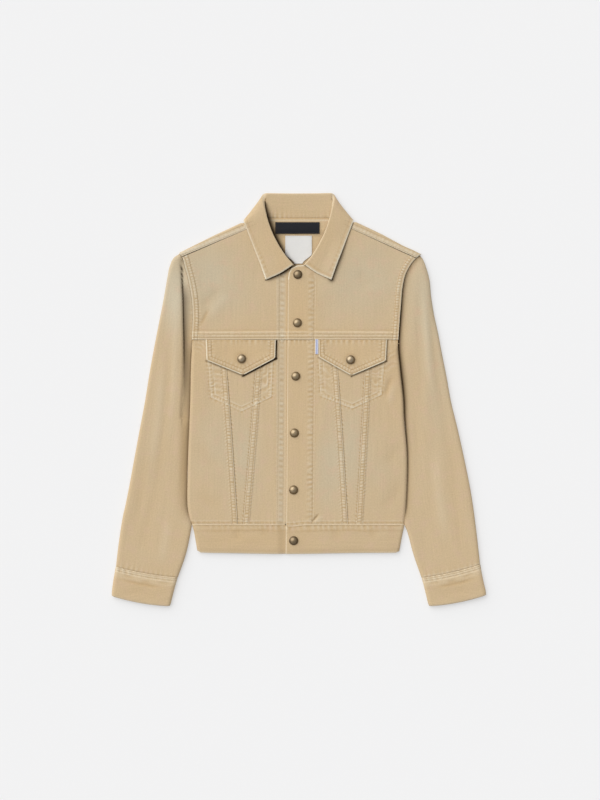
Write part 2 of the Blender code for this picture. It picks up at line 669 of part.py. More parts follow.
# ---- collar ----
def collar_section(row, sign):
    """One section of the collar, from the neck seam up the stand, round the fold and down the fall."""
    out = -1.0 if sign < 0 else COLLAR_LEFT_SCALE
    seam = Vector((out * row[0], row[1], row[2]))
    fold = Vector((out * row[3], row[4], row[5]))
    turn = math.radians(row[6])
    middle = Vector((out * row[7], row[8], row[9]))
    edge = Vector((out * row[10], row[11], row[12]))
    flat = Vector((1, 1, 0))
    to_seam = ((seam - fold) * flat).normalized()
    to_edge = ((middle - fold) * flat).normalized()
    inward = (to_seam + to_edge).normalized()
    across = Vector((-sign * inward.y, sign * inward.x, 0)) * -1
    lean = across * math.cos(turn) + Vector((0, 0, math.sin(turn)))
    radius = COLLAR_ROLL + COLLAR_CORNER_ROLL * math.cos(turn)
    centre = fold + inward * radius
    roll = []
    for angle in (90, 45, 0, -45, -90):
        a = math.radians(angle)
        roll.append(centre - inward * radius * math.cos(a) + lean * radius * math.sin(a))
    points = [seam, seam.lerp(roll[0], 0.5)] + roll
    points += [roll[-1].lerp(middle, 0.5), middle, middle.lerp(edge, 0.5), edge]
    return points


def collar():
    rows = [collar_section(row, -1.0) for row in reversed(COLLAR_ROWS)]
    rows += [collar_section(row, 1.0) for row in COLLAR_ROWS[1:]]
    sheet("collar", rows, CORDUROY, DOUBLE_PLY, offset=0.0)


# ---- flaps, labels and buttons ----
def flap(side):
    shape = FLAPS[side]
    left_x, right_x = shape["top"]
    low_left_x, low_left_y, low_right_x, low_right_y = shape["shoulder"]
    point_x, point_y = shape["point"]
    rows = []
    shares = (0, 0.06, 0.25, 0.44, 0.5, 0.56, 0.75, 0.94, 1.0)
    for down in (0, 0.2, 0.45, 0.7, 0.9, 1.0):
        row = []
        for share in shares:
            if share <= 0.5:
                bottom_x = mix(low_left_x, point_x, share * 2)
                bottom_y = mix(low_left_y, point_y, share * 2)
                top_x = mix(left_x, point_x, share * 2)
            else:
                bottom_x = mix(point_x, low_right_x, share * 2 - 1)
                bottom_y = mix(point_y, low_right_y, share * 2 - 1)
                top_x = mix(point_x, right_x, share * 2 - 1)
            lift = FLAP_LIFT * down ** 2 * smooth((share - 0.3) / 0.6)
            y = mix(FLAP_TOP, bottom_y, down)
            row.append((mix(top_x, bottom_x, down), y, FLAP_TOP_HEIGHT + lift))
        rows.append(row)
    sheet("flap_" + side, facing_up(rows), CORDUROY, FLAP_PLY)


def on_back_yoke(x, y):
    """Outer face of a label that lies on the inside of the back yoke."""
    return under_height(x, y) + PLY + SEAM_GAP + LABEL_PLY + 0.15


def neck_label():
    left, right, low, high = NECK_LABEL
    rows = [[(mix(left, right, i / 4), mix(high, low, j / 5), 0) for i in range(5)] for j in range(6)]
    rows = [[(x, y, on_back_yoke(x, y)) for x, y, _ in row] for row in rows]
    sheet("neck_label", facing_up(rows), LABEL_DARK, LABEL_PLY)


def size_label():
    """Woven label with straight sides and a rounded, narrowing end."""
    shape = SIZE_LABEL
    rows = []
    for y in (shape["top"], 262.0, 252.0, shape["taper"], 233.0, 228.0, shape["bottom"]):
        down = smooth((shape["taper"] - y) / (shape["taper"] - shape["bottom"]))
        half = mix(shape["side"], shape["tip"], down)
        rows.append([(shape["middle"] + half * across, y, 0) for across in (-1, -0.5, 0, 0.5, 1)])
    rows = [[(x, y, on_back_yoke(x, y)) for x, y, _ in row] for row in rows]
    sheet("size_label", facing_up(rows), LABEL_PALE, LABEL_PLY)


def flap_tab():
    """Small folded tab caught in the chest seam beside the left flap."""
    left, right, low, high = FLAP_TAB
    top = FRONT_TOP + SEAM_GAP + LABEL_PLY
    rows = [[(x, y, top) for x in (left, right)] for y in (high, mix(high, low, 0.5), low)]
    sheet("flap_tab", facing_up(rows), LABEL_PALE, LABEL_PLY)


def button(name, x, y, seat):
    """Domed metal shank button, turned from its profile."""
    profile = ((0.0, 1.0), (0.42, 0.96), (0.75, 0.84), (0.93, 0.64), (1.0, 0.42), (0.95, 0.2),
               (0.8, 0.07), (0.0, 0.0))
    bm = bmesh.new()
    points = [bm.verts.new((BUTTON_RADIUS * r * MM, 0, BUTTON_HEIGHT * h * MM)) for r, h in profile]
    for first, second in zip(points, points[1:]):
        bm.edges.new((first, second))
    mesh = bpy.data.meshes.new(name)
    bm.to_mesh(mesh)
    bm.free()
    made = place_object(name, mesh, BRASS)
    made.location = Vector((x, y, seat + SEAM_GAP)) * MM
    screw = made.modifiers.new("Turn", "SCREW")
    screw.steps = screw.render_steps = 14
    screw.merge_threshold = 0.0001
    screw.use_merge_vertices = True
    screw.use_smooth_shade = True
    return made


def main():
    for side in ("right", "left"):
        front_yoke(side)
        front_outer(side)
        front_mid(side)
        front_inner(side)
        sleeve(side)
        cuff(side)
        flap(side)
        x, y = FLAP_BUTTONS[side]
        button("flap_button_" + side, x, y, FLAP_TOP_HEIGHT + 0.5)
    back()
    back_yoke()
    waistband()
    collar()
    neck_label()
    size_label()
    flap_tab()
    for n, (x, y) in enumerate(FRONT_BUTTONS):
        seat = WAISTBAND_TOP if y < WAIST_SEAM else PLACKET_TOP
        button("button_%d" % (n + 1), x, y, seat)


for thing in list(bpy.data.objects):
    bpy.data.objects.remove(thing)
JACKET = new_collection("corduroy_jacket")
CORDUROY = material("corduroy", (0.60, 0.45, 0.27), 0.95)
BRASS = material("antique_brass", (0.36, 0.27, 0.15), 0.4, 0.9)
LABEL_DARK = material("dark_label", (0.018, 0.019, 0.026), 0.8)
LABEL_PALE = material("pale_label", (0.75, 0.74, 0.70), 0.8)
SLEEVE_CURVES = {side: (curve(SLEEVE_OUTER[side]), curve(SLEEVE_INNER[side])) for side in SIGN}
main()
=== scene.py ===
# %% [markdown]
# # A corduroy jacket, buttoned and laid flat
#
# A jacket is a set of flat pieces of cloth with sewing that pulls at them. So each piece starts here as a
# grid of points on the form that it has on the table, and then gets what a sewing machine, washing and
# wear do to cloth: pressed bands, rows of stitches, puckers, creases and pale edges.
#
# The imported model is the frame. Its solids say where each piece lies, and every piece made here takes the
# place of one of them.

# %% Load the frame
import math

import bpy
import numpy as np
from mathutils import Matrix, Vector
from mathutils.bvhtree import BVHTree


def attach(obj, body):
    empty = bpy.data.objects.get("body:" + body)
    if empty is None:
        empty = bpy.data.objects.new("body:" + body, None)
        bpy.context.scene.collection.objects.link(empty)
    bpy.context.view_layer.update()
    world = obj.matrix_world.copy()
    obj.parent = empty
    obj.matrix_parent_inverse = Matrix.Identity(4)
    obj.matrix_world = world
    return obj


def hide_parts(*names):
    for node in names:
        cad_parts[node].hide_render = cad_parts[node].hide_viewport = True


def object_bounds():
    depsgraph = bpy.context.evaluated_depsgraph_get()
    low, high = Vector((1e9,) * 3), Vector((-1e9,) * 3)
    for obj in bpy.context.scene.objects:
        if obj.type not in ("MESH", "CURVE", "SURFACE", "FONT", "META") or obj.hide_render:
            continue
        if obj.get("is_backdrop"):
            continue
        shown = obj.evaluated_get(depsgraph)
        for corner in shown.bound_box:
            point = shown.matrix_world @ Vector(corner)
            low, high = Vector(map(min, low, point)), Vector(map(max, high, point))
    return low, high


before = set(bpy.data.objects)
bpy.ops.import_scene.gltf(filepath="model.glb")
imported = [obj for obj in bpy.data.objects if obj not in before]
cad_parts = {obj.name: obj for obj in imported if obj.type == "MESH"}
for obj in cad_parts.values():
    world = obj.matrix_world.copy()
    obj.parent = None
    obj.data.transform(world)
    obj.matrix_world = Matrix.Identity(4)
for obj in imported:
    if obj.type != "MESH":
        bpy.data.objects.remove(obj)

MM = 0.001
CAD_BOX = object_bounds()
SIGN = {"right": -1, "left": 1}       # the wearer's right is at -X
print("frame:", len(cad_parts), "solids in a box of",
      [round((high - low) / MM, 1) for low, high in zip(*CAD_BOX)], "mm")

# %% [markdown]
# ## Small helpers
#
# Most forms here are tables of a few measured rows with soft curves through them. A Hermite curve passes
# through every row and bends gently between them, as cloth does, and it works on whole arrays at once,
# which is much faster in Python than one point at a time.

# %% Curves and soft steps
def smooth(value):
    """Soft step from 0 to 1."""
    value = np.clip(value, 0.0, 1.0)
    return value * value * (3 - 2 * value)


def hump(off, width, power=2):
    """1 on a line, and soon 0 beyond a width from it; a higher power has steeper sides."""
    return np.exp(-np.abs(off / width) ** power)


def bow(share):
    """An arch that is 0 at both ends and 1 in the middle."""
    return 4 * share * (1 - share)


def waves(turns):
    return np.sin(2 * math.pi * turns)


def mix(low, high, share):
    return low + (high - low) * share


def flow(keys, values, at):
    """Soft curve through rows of values, read at any keys; the rows may hold several numbers each."""
    keys, values, at = np.asarray(keys, float), np.asarray(values, float), np.asarray(at, float)
    wide = (slice(None),) + (None,) * (values.ndim - 1)
    runs = np.diff(values, axis=0) / np.diff(keys)[wide]
    slopes = np.r_[runs[:1], (runs[:-1] + runs[1:]) / 2, runs[-1:]]
    i = np.clip(np.searchsorted(keys, at, side="right") - 1, 0, len(keys) - 2)
    grow = at.shape + (1,) * (values.ndim - 1)
    span = (keys[i + 1] - keys[i]).reshape(grow)
    reach = ((at - keys[i]).reshape(grow)) / span
    t = np.clip(reach, 0, 1)
    inside = ((1 + 2 * t) * (1 - t) ** 2 * values[i] + t * (1 - t) ** 2 * span * slopes[i]
              + t * t * (3 - 2 * t) * values[i + 1] + t * t * (t - 1) * span * slopes[i + 1])
    return inside + (reach - t) * span * np.where(reach > 1, slopes[i + 1], slopes[i])


def curve(rows):
    """Function through (key, value) rows."""
    table = np.array(rows, float)
    return lambda key: flow(table[:, 0], table[:, 1], key)


print("smooth half way:", float(smooth(0.5)), " curve through 0, 1, 0:",
      float(curve(((0, 0), (1, 1), (2, 0)))(1.5)))

# %% [markdown]
# Sewing follows lines, so the most useful measure is how far along a line a point is, and how far off it.
# Uneven numbers along a line, and over a surface, keep puckers and folds from looking like a machine made
# them. The seeds are fixed, so the jacket is the same every time.

# %% Distances and unevenness
def beside(path, x, y):
    """How far along a line each point is, and how far off it; positive on the line's left."""
    near = np.full(np.shape(x), 1e9)
    run, side = np.zeros(np.shape(x)), np.ones(np.shape(x))
    start = 0.0
    for (ax, ay), (bx, by) in zip(path[:-1], path[1:]):
        length = math.hypot(bx - ax, by - ay)
        ux, uy = (bx - ax) / length, (by - ay) / length
        along = np.clip((x - ax) * ux + (y - ay) * uy, 0, length)
        off_x, off_y = x - ax - ux * along, y - ay - uy * along
        far = np.hypot(off_x, off_y)
        nearer = far < near
        near = np.where(nearer, far, near)
        run = np.where(nearer, start + along, run)
        side = np.where(nearer, np.where(ux * off_y - uy * off_x < 0, -1.0, 1.0), side)
        start += length
    return run, near * side


def uneven(run, length, seed):
    """Soft random numbers from -1 to 1 along a line, a new one every length."""
    values = np.random.default_rng(seed).uniform(-1, 1, 256)
    step = np.floor(run / length)
    i = step.astype(int) % 256
    return mix(values[i], values[(i + 1) % 256], smooth(run / length - step))


def varied(share, run, length, seed):
    """Soft random numbers along a line from 1 down to 1 less twice the share."""
    return 1 - share + share * uneven(run, length, seed)


def rolling(x, y, size_x, size_y, seed):
    """Soft random numbers from -1 to 1 over a surface."""
    values = np.random.default_rng(seed).uniform(-1, 1, (64, 64))
    gx, gy = x / size_x, y / size_y
    i, j = np.floor(gx).astype(int), np.floor(gy).astype(int)
    u, v = smooth(gx - i), smooth(gy - j)
    i, j, next_i, next_j = i % 64, j % 64, (i + 1) % 64, (j + 1) % 64
    return mix(mix(values[i, j], values[next_i, j], u), mix(values[i, next_j], values[next_i, next_j], u), v)


def line(*points):
    """A line's points as plain numbers."""
    return [(float(x), float(y)) for x, y in points]


print("a point 3 mm left of a line:", beside(line((0, 0), (0, 10)), np.array(-3.0), np.array(4.0)))

# %% [markdown]
# ## Cloth as a grid
#
# A cloth wall could be a plane with a Solidify modifier. Here the wall is made directly: an outer layer, an
# inner layer one ply below it, and a rounded rim between them, because a folded or pressed edge is round
# and a Solidify rim is square. The grid also keeps marks for each point, which the finish reads later: how
# worn the nap is, how much richer colour and painted shade it has in hollows and seams, and how much
# painted shade it gets in the narrowest folds and under other cloth.

# %% The cloth grid
class Cloth:
    """A grid of points in millimetres on the outside of a piece, with what sewing and wear do to it."""

    def __init__(self, points, ring=False, faces_down=False):
        points = np.array(points, float)
        normals = self.facing(points, ring)
        upper = points[..., 2] >= np.quantile(points[..., 2], 0.6)
        if (normals[..., 2][upper].mean() > 0) == faces_down:
            points = points[:, ::-1]
            normals = self.facing(points, ring)
        self.points, self.normals, self.ring = points, normals, ring
        self.x, self.y, self.z = (points[..., n] for n in range(3))
        self.front = np.ones(self.x.shape) if faces_down else smooth(normals[..., 2] * 1.6)
        self.rise, self.worn, self.deep, self.painted_shade = np.zeros((4, *self.x.shape))
        # painted shade that only the rim gets
        self.rim_painted_shade = np.zeros(self.x.shape)     # only on the rim
        self.ply = np.ones(self.x.shape)

    @staticmethod
    def facing(points, ring):
        down = np.gradient(points, axis=0)
        if ring:
            across = (np.roll(points, -1, 1) - np.roll(points, 1, 1)) / 2
        else:
            across = np.gradient(points, axis=1)
        normal = np.cross(across, down)
        return normal / np.maximum(np.linalg.norm(normal, axis=-1, keepdims=True), 1e-9)

    def beside(self, path):
        """How far along a line each point is, and how far off it."""
        return beside(path, self.x, self.y)

    def off(self, path):
        return self.beside(path)[1]


def grid(x, y, z, **how):
    """Cloth from x, y and z, each for every point, or for every row or column."""
    return Cloth(np.stack(np.broadcast_arrays(x, y, z), axis=-1), **how)


def ring_faces(index):
    """Faces between the rows of numbered points, where every row is a ring."""
    after = np.roll(index, -1, 1)
    return np.stack([index[:-1], index[1:], after[1:], after[:-1]], axis=-1).reshape(-1, 4).tolist()


def rim_loops(rows, columns, ring):
    """The open edges of a grid as (row, column, neighbour's row, neighbour's column), in face order."""
    last_row, last = rows - 1, columns - 1
    if ring:
        every = range(columns)
        yield [(0, c, 1, c) for c in every]
        yield [(last_row, c, last_row - 1, c) for c in reversed(every)]
        return
    loop = [(0, c, 1, min(max(c, 1), last - 1)) for c in range(columns)]
    loop += [(r, last, min(r, last_row - 1), last - 1) for r in range(1, rows)]
    loop += [(last_row, c, last_row - 1, max(c, 1)) for c in range(last - 1, -1, -1)]
    loop += [(r, 0, r, 1) for r in range(last_row - 1, 0, -1)]
    yield loop


def wall_mesh(cloth, ply, bulge):
    """Vertices, faces and the grid point that each vertex comes from."""
    rows, columns = cloth.x.shape
    outer = cloth.points + cloth.normals * cloth.rise[..., None]
    inner = outer - cloth.normals * (ply * cloth.ply)[..., None]
    count = rows * columns
    index = np.arange(count).reshape(rows, columns)
    here, below = index[:-1], index[1:]
    if cloth.ring:
        quads = (here, np.roll(here, -1, 1), np.roll(below, -1, 1), below)
    else:
        quads = (here[:, :-1], here[:, 1:], below[:, 1:], below[:, :-1])
    quads = np.stack([q.ravel() for q in quads], axis=1)
    faces = [quads, quads[:, ::-1] + count]
    points, source = [outer.reshape(-1, 3), inner.reshape(-1, 3)], [index.ravel()] * 2
    made = 2 * count
    for loop in rim_loops(rows, columns, cloth.ring):
        r, c, near_r, near_c = np.array(loop).T
        away = outer[r, c] - outer[near_r, near_c]
        flat = cloth.normals[r, c]
        away -= flat * (away * flat).sum(1, keepdims=True)
        away /= np.maximum(np.linalg.norm(away, axis=1, keepdims=True), 1e-9)
        points.append((outer[r, c] + inner[r, c]) / 2 + away * bulge)
        source.append(index[r, c])
        edge, middle = index[r, c], made + np.arange(len(loop))
        edge_next, middle_next = np.roll(edge, -1), np.roll(middle, -1)
        faces.append(np.stack([edge_next, edge, middle, middle_next], axis=1))
        faces.append(np.stack([middle_next, middle, edge + count, edge_next + count], axis=1))
        made += len(loop)
    return np.concatenate(points), np.concatenate(faces), np.concatenate(source)


print("a 3 by 4 grid has", len(list(rim_loops(3, 4, False))[0]), "points on its rim")

# %% [markdown]
# ## What sewing does
#
# A row of stitches presses a narrow groove into soft cloth. After washing, the thread has shrunk more than
# the cloth, so the cloth beside it stands in small uneven waves. Between two close rows the waves become a
# ladder of little pillows. The tops of all these rub pale, and the hollows get a richer colour that is
# partly unfaded dye and partly painted shade.

# %% Sewing and pressing
THREADS = []          # (group, line) for every row of stitches, laid on the cloth at the end
GROOVE, GROOVE_WIDTH = 0.32, 0.75      # how deep and how wide a row of stitches pulls into the cloth


def rub(cloth, wave, deep, worn):
    """Waves rub pale on their tops; their hollows get a richer colour and painted shade."""
    cloth.deep += deep * np.clip(-wave, 0, 1)
    cloth.worn += worn * np.clip(wave, 0, 1)


def sew(cloth, path, group=None, groove=GROOVE, tone=1.0):
    """One row of stitches along a line; the rows with a group get real thread."""
    pulled = hump(cloth.off(path), GROOVE_WIDTH) * cloth.front
    cloth.rise -= groove * pulled
    # the groove gets a richer colour and painted shade
    cloth.deep += 0.42 * tone * pulled
    if group:
        THREADS.append((group, path))


def pucker(cloth, path, reach, length, depth, seed, side=0, slant=0.0, tone=1.0):
    """Waves across a row of stitches that die out away from it, on one side or on both."""
    run, off = cloth.beside(path)
    phase = (run + slant * off) / length + 0.42 * uneven(run, 2.4 * length, seed)
    fade = hump(off, reach, 1.7) * cloth.front
    if side:
        fade *= smooth((side * off + 0.7) / 1.4)
    wave = waves(phase) * varied(0.38, run, 1.7 * length, seed + 1) * fade
    cloth.rise += depth * (wave - 0.55 * fade)
    rub(cloth, wave, 0.75 * tone, 0.42 * tone)


def ladder(cloth, path, width, length, height, seed, side=1, tone=1.0, notch_width=0.17):
    """Little pillows between two rows of stitches, from a line to width away from it."""
    run, off = cloth.beside(path)
    across = np.clip(bow(side * off / width), 0, 1) ** 0.6 * cloth.front
    place = (run + 0.34 * length * uneven(run, 2.3 * length, seed) + 0.15 * side * off) / length
    notch = hump(place - np.floor(place) - 0.5, notch_width)
    size = varied(0.38, run, 1.3 * length, seed + 1)
    cut = notch * varied(0.45, run, 1.1 * length, seed + 2)
    cloth.rise += across * height * (size * (1 - notch) - 0.45 * cut)
    # the notches get a richer colour and painted shade
    cloth.deep += tone * across * cut * 0.95
    cloth.worn += tone * across * (1 - notch) * size * 0.34


print("a row of stitches pulls", GROOVE, "mm into the cloth")

# %% [markdown]
# A row of stitches on a layer behind leaves a faint welt. Cloth that is held on its sides wrinkles, cloth
# that is bent creases, and the rest rolls a little. Each is a hump or a wave added to the grid's height.

# %% Welts, wrinkles, creases and edges
def welt(cloth, path, seed, tone=0.5, height=0.12):
    """What a row of stitches on another layer leaves on this one: a thin pale ridge beside a thin hollow."""
    run, off = cloth.beside(path)
    size = tone * varied(0.4, run, 9.0, seed) * cloth.front
    ridge, hollow = hump(off - 1.0, 1.0), hump(off + 0.7, 0.9)
    cloth.rise += height * (ridge - hollow) * size * 2
    cloth.worn += 0.42 * size * ridge
    # the hollow gets a richer colour and painted shade
    cloth.deep += 1.05 * size * hollow


def ripples(cloth, middle, reach, length, depth, seed, lean, tone):
    """Soft short wrinkles in a patch of cloth that is held on its sides; lean turns them."""
    x, y = cloth.x - middle[0], cloth.y - middle[1]
    run = y * math.cos(lean) + x * math.sin(lean)
    fade = hump(x, reach[0], 4) * hump(y, reach[1], 4) * cloth.front
    phase = run / length + 0.5 * rolling(cloth.x, cloth.y, 9.0, 9.0, seed)
    wave = waves(phase) * (0.55 + 0.45 * rolling(cloth.x, cloth.y, 7.0, 6.0, seed + 1)) * fade
    cloth.rise += depth * (wave - fade)
    rub(cloth, wave, tone, 0.6 * tone)


def shade(cloth, path, width, painted_shade):
    """A narrow line of painted shade where cloth meets or goes under other cloth."""
    cloth.painted_shade += painted_shade * hump(cloth.off(path), width) * cloth.front


def crease(cloth, path, width, depth, tone=0.35, painted_shade=0.0):
    """A soft trough along a line, shallow at both of its ends; a negative depth makes a ridge."""
    run, off = cloth.beside(path)
    length = sum(math.dist(a, b) for a, b in zip(path[:-1], path[1:]))
    taper = smooth(run / (0.35 * length)) * smooth((length - run) / (0.35 * length))
    fold = hump(off, width) * taper * cloth.front
    cloth.rise -= depth * fold
    # the trough gets a richer colour with painted shade, and a ridge rubs pale; darkness is more painted
    # shade
    cloth.deep += tone * fold * (depth > 0)
    cloth.worn += tone * fold * (depth < 0)
    cloth.painted_shade += painted_shade * fold ** 1.5


def drape(cloth, size_x, size_y, depth, seed, keep=1.0):
    """Soft large unevenness of cloth that lies loosely; keep is 0 where it is held down."""
    soft = rolling(cloth.x, cloth.y, size_x, size_y, seed)
    soft += 0.5 * rolling(cloth.x, cloth.y, size_x / 2.3, size_y / 2.1, seed + 1)
    cloth.rise += depth * soft * keep * cloth.front


def pale_edge(cloth, path, amount, width, drop):
    """A folded edge: it rounds down and thins, and its nap has worn pale."""
    off = cloth.off(path)
    cloth.worn += amount * hump(off, width, 2.6) * cloth.front
    at_edge = hump(off, 0.8) * cloth.front
    cloth.rise -= drop * at_edge
    cloth.ply -= 0.35 * at_edge


print("1 mm off its line, a crease 2 mm wide has this share of its depth:", f"{hump(1.0, 2.0):.2f}")

# %% [markdown]
# ## Finishes
#
# Corduroy is a pile cloth: rows of cut loops, the wales, with bare ground between them. It is matt, with a
# soft sheen along grazing light, and its dye rubs off where the pile is proud. A node tree can do all of
# it from one set of coordinates, Grain, in metres: across the wales and along them. So the wales run down
# the panels, along the sleeves and round the bands, as they do on a cut pattern.

# %% Dyes, painted shade and node helpers
WALE = 1.55 * MM               # from one wale to the next
DYE = (0.593, 0.452, 0.279)
FADED_DYE = (0.558, 0.470, 0.328)
WARM_DYE = (0.600, 0.434, 0.243)
# hollows, grooves and seams: unfaded dye together with painted shade
DEEP_DYE_AND_SHADE = (0.470, 0.305, 0.138)
WORN_DYE = (0.830, 0.765, 0.610)
# painted shade, nearly black, for the narrowest folds and where other cloth lies over
PAINTED_SHADE_COLOR = (0.026, 0.013, 0.004)
ROSY_DYE = (0.612, 0.445, 0.305)
TONE_BASE, SPECKLE = 0.722, 0.29     # even tone, and how much it varies from one spot to the next


def feed(node, inputs):
    """Give a node its inputs: each is another node's output, a number or a colour."""
    for key, value in dict(inputs).items():
        socket = node.inputs[key]
        if isinstance(value, bpy.types.NodeSocket):
            node.id_data.links.new(value, socket)
        else:
            socket.default_value = (*value, 1.0) if socket.type == "RGBA" else value


def new_finish(name, inputs=()):
    """A material, its Principled shader with some inputs set, and a function that adds nodes to it."""
    made = bpy.data.materials.new(name)
    made.use_nodes = True
    shader = made.node_tree.nodes["Principled BSDF"]
    feed(shader, inputs)

    def add(kind, inputs=(), **settings):
        node = made.node_tree.nodes.new(kind)
        for key, value in settings.items():
            setattr(node, key, value)
        feed(node, inputs)
        return node

    return made, shader, add


def number(add, operation, first, second=0.0, third=0.5, clamp=False):
    node = add("ShaderNodeMath", {0: first, 1: second, 2: third}, operation=operation, use_clamp=clamp)
    return node.outputs[0]


def times(add, first, second, clamp=False):
    return number(add, "MULTIPLY", first, second, clamp=clamp)


def plus(add, first, second, clamp=False):
    return number(add, "ADD", first, second, clamp=clamp)


def blend(add, share, low, high, how="MIX"):
    """Mix two colours; each may be an output or three numbers."""
    return add("ShaderNodeMix", {0: share, 6: low, 7: high}, data_type="RGBA", blend_type=how).outputs[2]


def mark(add, name):
    """A mark that the cloth grid left on each point."""
    return add("ShaderNodeAttribute", attribute_name=name).outputs["Fac"]


def tinted(add, color, name, amount, dye):
    """Another colour as far as a mark goes: a dye, wear, patina or painted shade."""
    return blend(add, times(add, mark(add, name), amount, clamp=True), color, dye)


def cloud(add, vector, scale, detail=2.0):
    return add("ShaderNodeTexNoise", {"Vector": vector, "Scale": scale, "Detail": detail}).outputs[0]


def grain_of(add):
    """The cloth's own coordinates in metres: both together, across the wales, and along them."""
    grain = add("ShaderNodeUVMap", uv_map="Grain").outputs[0]
    parts = add("ShaderNodeSeparateXYZ", {0: grain})
    return grain, parts.outputs[0], parts.outputs[1]


print("wales to the inch:", round(25.4 * MM / WALE, 1))

# %% [markdown]
# The wales are a sine wave across the grain. Real pile also lies in streaks along the wales, a little
# lighter or darker, and that is what the eye sees from a distance, when single wales are too fine.

# %% Corduroy
def corduroy(name):
    made, shader, add = new_finish(name, {
        "Roughness": 0.92, "Specular IOR Level": 0.04, "Sheen Weight": 0.06, "Sheen Roughness": 0.45,
        "Sheen Tint": (0.95, 0.86, 0.70)})
    grain, across, _ = grain_of(add)
    stretched = add("ShaderNodeVectorMath", {0: grain, 1: (620.0, 17.0, 1.0)}, operation="MULTIPLY")
    streak = cloud(add, stretched.outputs[0], 1.0, 3.0)
    mottle = cloud(add, grain, 30.0, 4.0)
    blush = cloud(add, grain, 55.0)
    speckle = cloud(add, grain, 420.0, 3.0)
    fuzz = cloud(add, grain, 2400.0)
    wander = times(add, cloud(add, grain, 90.0), 1.6)
    turns = times(add, across, 2 * math.pi / WALE)
    wale = number(add, "MULTIPLY_ADD", number(add, "SINE", plus(add, turns, wander)), 0.5, 0.5)

    patchy = times(add, number(add, "SUBTRACT", mottle, 0.5), 0.5)
    color = blend(add, plus(add, mark(add, "faded"), patchy, clamp=True), DYE, FADED_DYE)
    rosy = times(add, number(add, "SUBTRACT", blush, 0.5), 2.4, clamp=True)
    color = blend(add, rosy, color, ROSY_DYE)
    color = tinted(add, color, "warm", 1.0, WARM_DYE)
    color = tinted(add, color, "deep", 0.8, DEEP_DYE_AND_SHADE)
    color = tinted(add, color, "worn", plus(add, fuzz, 0.45), WORN_DYE)
    tone = number(add, "MULTIPLY_ADD", streak, 0.16, TONE_BASE)
    tone = plus(add, tone, times(add, wale, 0.10))
    tone = plus(add, tone, times(add, speckle, SPECKLE))
    color = blend(add, 1.0, color, tone, how="MULTIPLY")
    # painted shade goes on last, over everything else
    color = tinted(add, color, "painted_shade", 1.0, PAINTED_SHADE_COLOR)

    height = plus(add, times(add, wale, 0.6), times(add, fuzz, 0.5))
    bump = add("ShaderNodeBump", {"Height": height, "Strength": 0.5, "Distance": 0.35 * MM})
    feed(shader, {"Base Color": color, "Normal": bump.outputs[0]})
    return made


CORDUROY = corduroy("corduroy_cloth")
print("made", CORDUROY.name, "with", len(CORDUROY.node_tree.nodes), "nodes")

# %% [markdown]
# The other finishes are small. Antique brass is plated, darkened and then rubbed bright on its high parts.
# The labels are tightly woven ribbons: satin for the dark one, plain cotton for the pale ones. The thread
# is spun cotton in the shade of the cloth.

# %% Brass, labels and thread
def antique_brass():
    made, shader, add = new_finish("antique_brass_button", {
        "Metallic": 0.9, "Coat Weight": 0.35, "Coat Roughness": 0.15})
    blotch = cloud(add, add("ShaderNodeTexCoord").outputs["Object"], 420.0, 3.0)
    color = blend(add, blotch, (0.205, 0.135, 0.058), (0.400, 0.290, 0.150))
    color = tinted(add, color, "deep", 0.8, (0.075, 0.046, 0.022))
    color = tinted(add, color, "worn", 0.8, (0.640, 0.560, 0.440))
    feed(shader, {"Base Color": color, "Roughness": number(add, "MULTIPLY_ADD", blotch, 0.16, 0.32)})
    return made


def ribbon(name, color, soiled, pitch, inputs):
    """Woven ribbon: ribs along it and a finer cross weave, a pitch in mm apart."""
    made, shader, add = new_finish(name, inputs)
    grain, across, along = grain_of(add)
    warp = number(add, "SINE", times(add, across, 2 * math.pi / (pitch * MM)))
    weft = number(add, "SINE", times(add, along, 2 * math.pi / (1.6 * pitch * MM)))
    tint = blend(add, times(add, cloud(add, grain, 160.0, 3.0), 0.12), color, soiled)
    tint = tinted(add, tint, "worn", 1.0, soiled)
    # painted shade where the collar's fold falls on a label
    tint = tinted(add, tint, "painted_shade", 1.0, PAINTED_SHADE_COLOR)
    weave = times(add, warp, weft)
    bump = add("ShaderNodeBump", {"Height": weave, "Strength": 0.35, "Distance": 0.12 * MM})
    feed(shader, {"Base Color": tint, "Normal": bump.outputs[0]})
    return made


def spun_thread(name, low, high):
    made, shader, add = new_finish(name, {"Roughness": 0.85, "Sheen Weight": 0.15})
    place = add("ShaderNodeTexCoord").outputs["Object"]
    feed(shader, {"Base Color": blend(add, cloud(add, place, 900.0), low, high)})
    return made


SATIN = {"Roughness": 0.75, "Sheen Weight": 0.02, "Specular IOR Level": 0.22}
COTTON = {"Roughness": 0.85, "Sheen Weight": 0.05}
BRASS = antique_brass()
DARK_RIBBON = ribbon("dark_ribbon", (0.012, 0.013, 0.017), (0.022, 0.023, 0.029), 0.45, SATIN)
PALE_RIBBON = ribbon("pale_ribbon", (0.76, 0.745, 0.715), (0.44, 0.46, 0.50), 0.55, COTTON)
STRIPED_RIBBON = ribbon("striped_ribbon", (0.78, 0.77, 0.76), (0.36, 0.40, 0.62), 0.55, COTTON)
THREAD = spun_thread("tan_thread", (0.37, 0.265, 0.145), (0.52, 0.405, 0.25))
DARK_THREAD = spun_thread("dark_thread", (0.020, 0.020, 0.026), (0.040, 0.040, 0.048))
PALE_THREAD = spun_thread("pale_thread", (0.60, 0.60, 0.58), (0.72, 0.72, 0.70))
print("finishes:", ", ".join(m.name for m in bpy.data.materials))

# %% [markdown]
# ## Where the dye has faded
#
# Washing fades the cloth where it stands proud, here over the shoulders, the sleeve heads and the lower
# fronts, and leaves it warm at the doubled parts: the placket, collar, flaps and bands. A few soft patches
# with names do it.

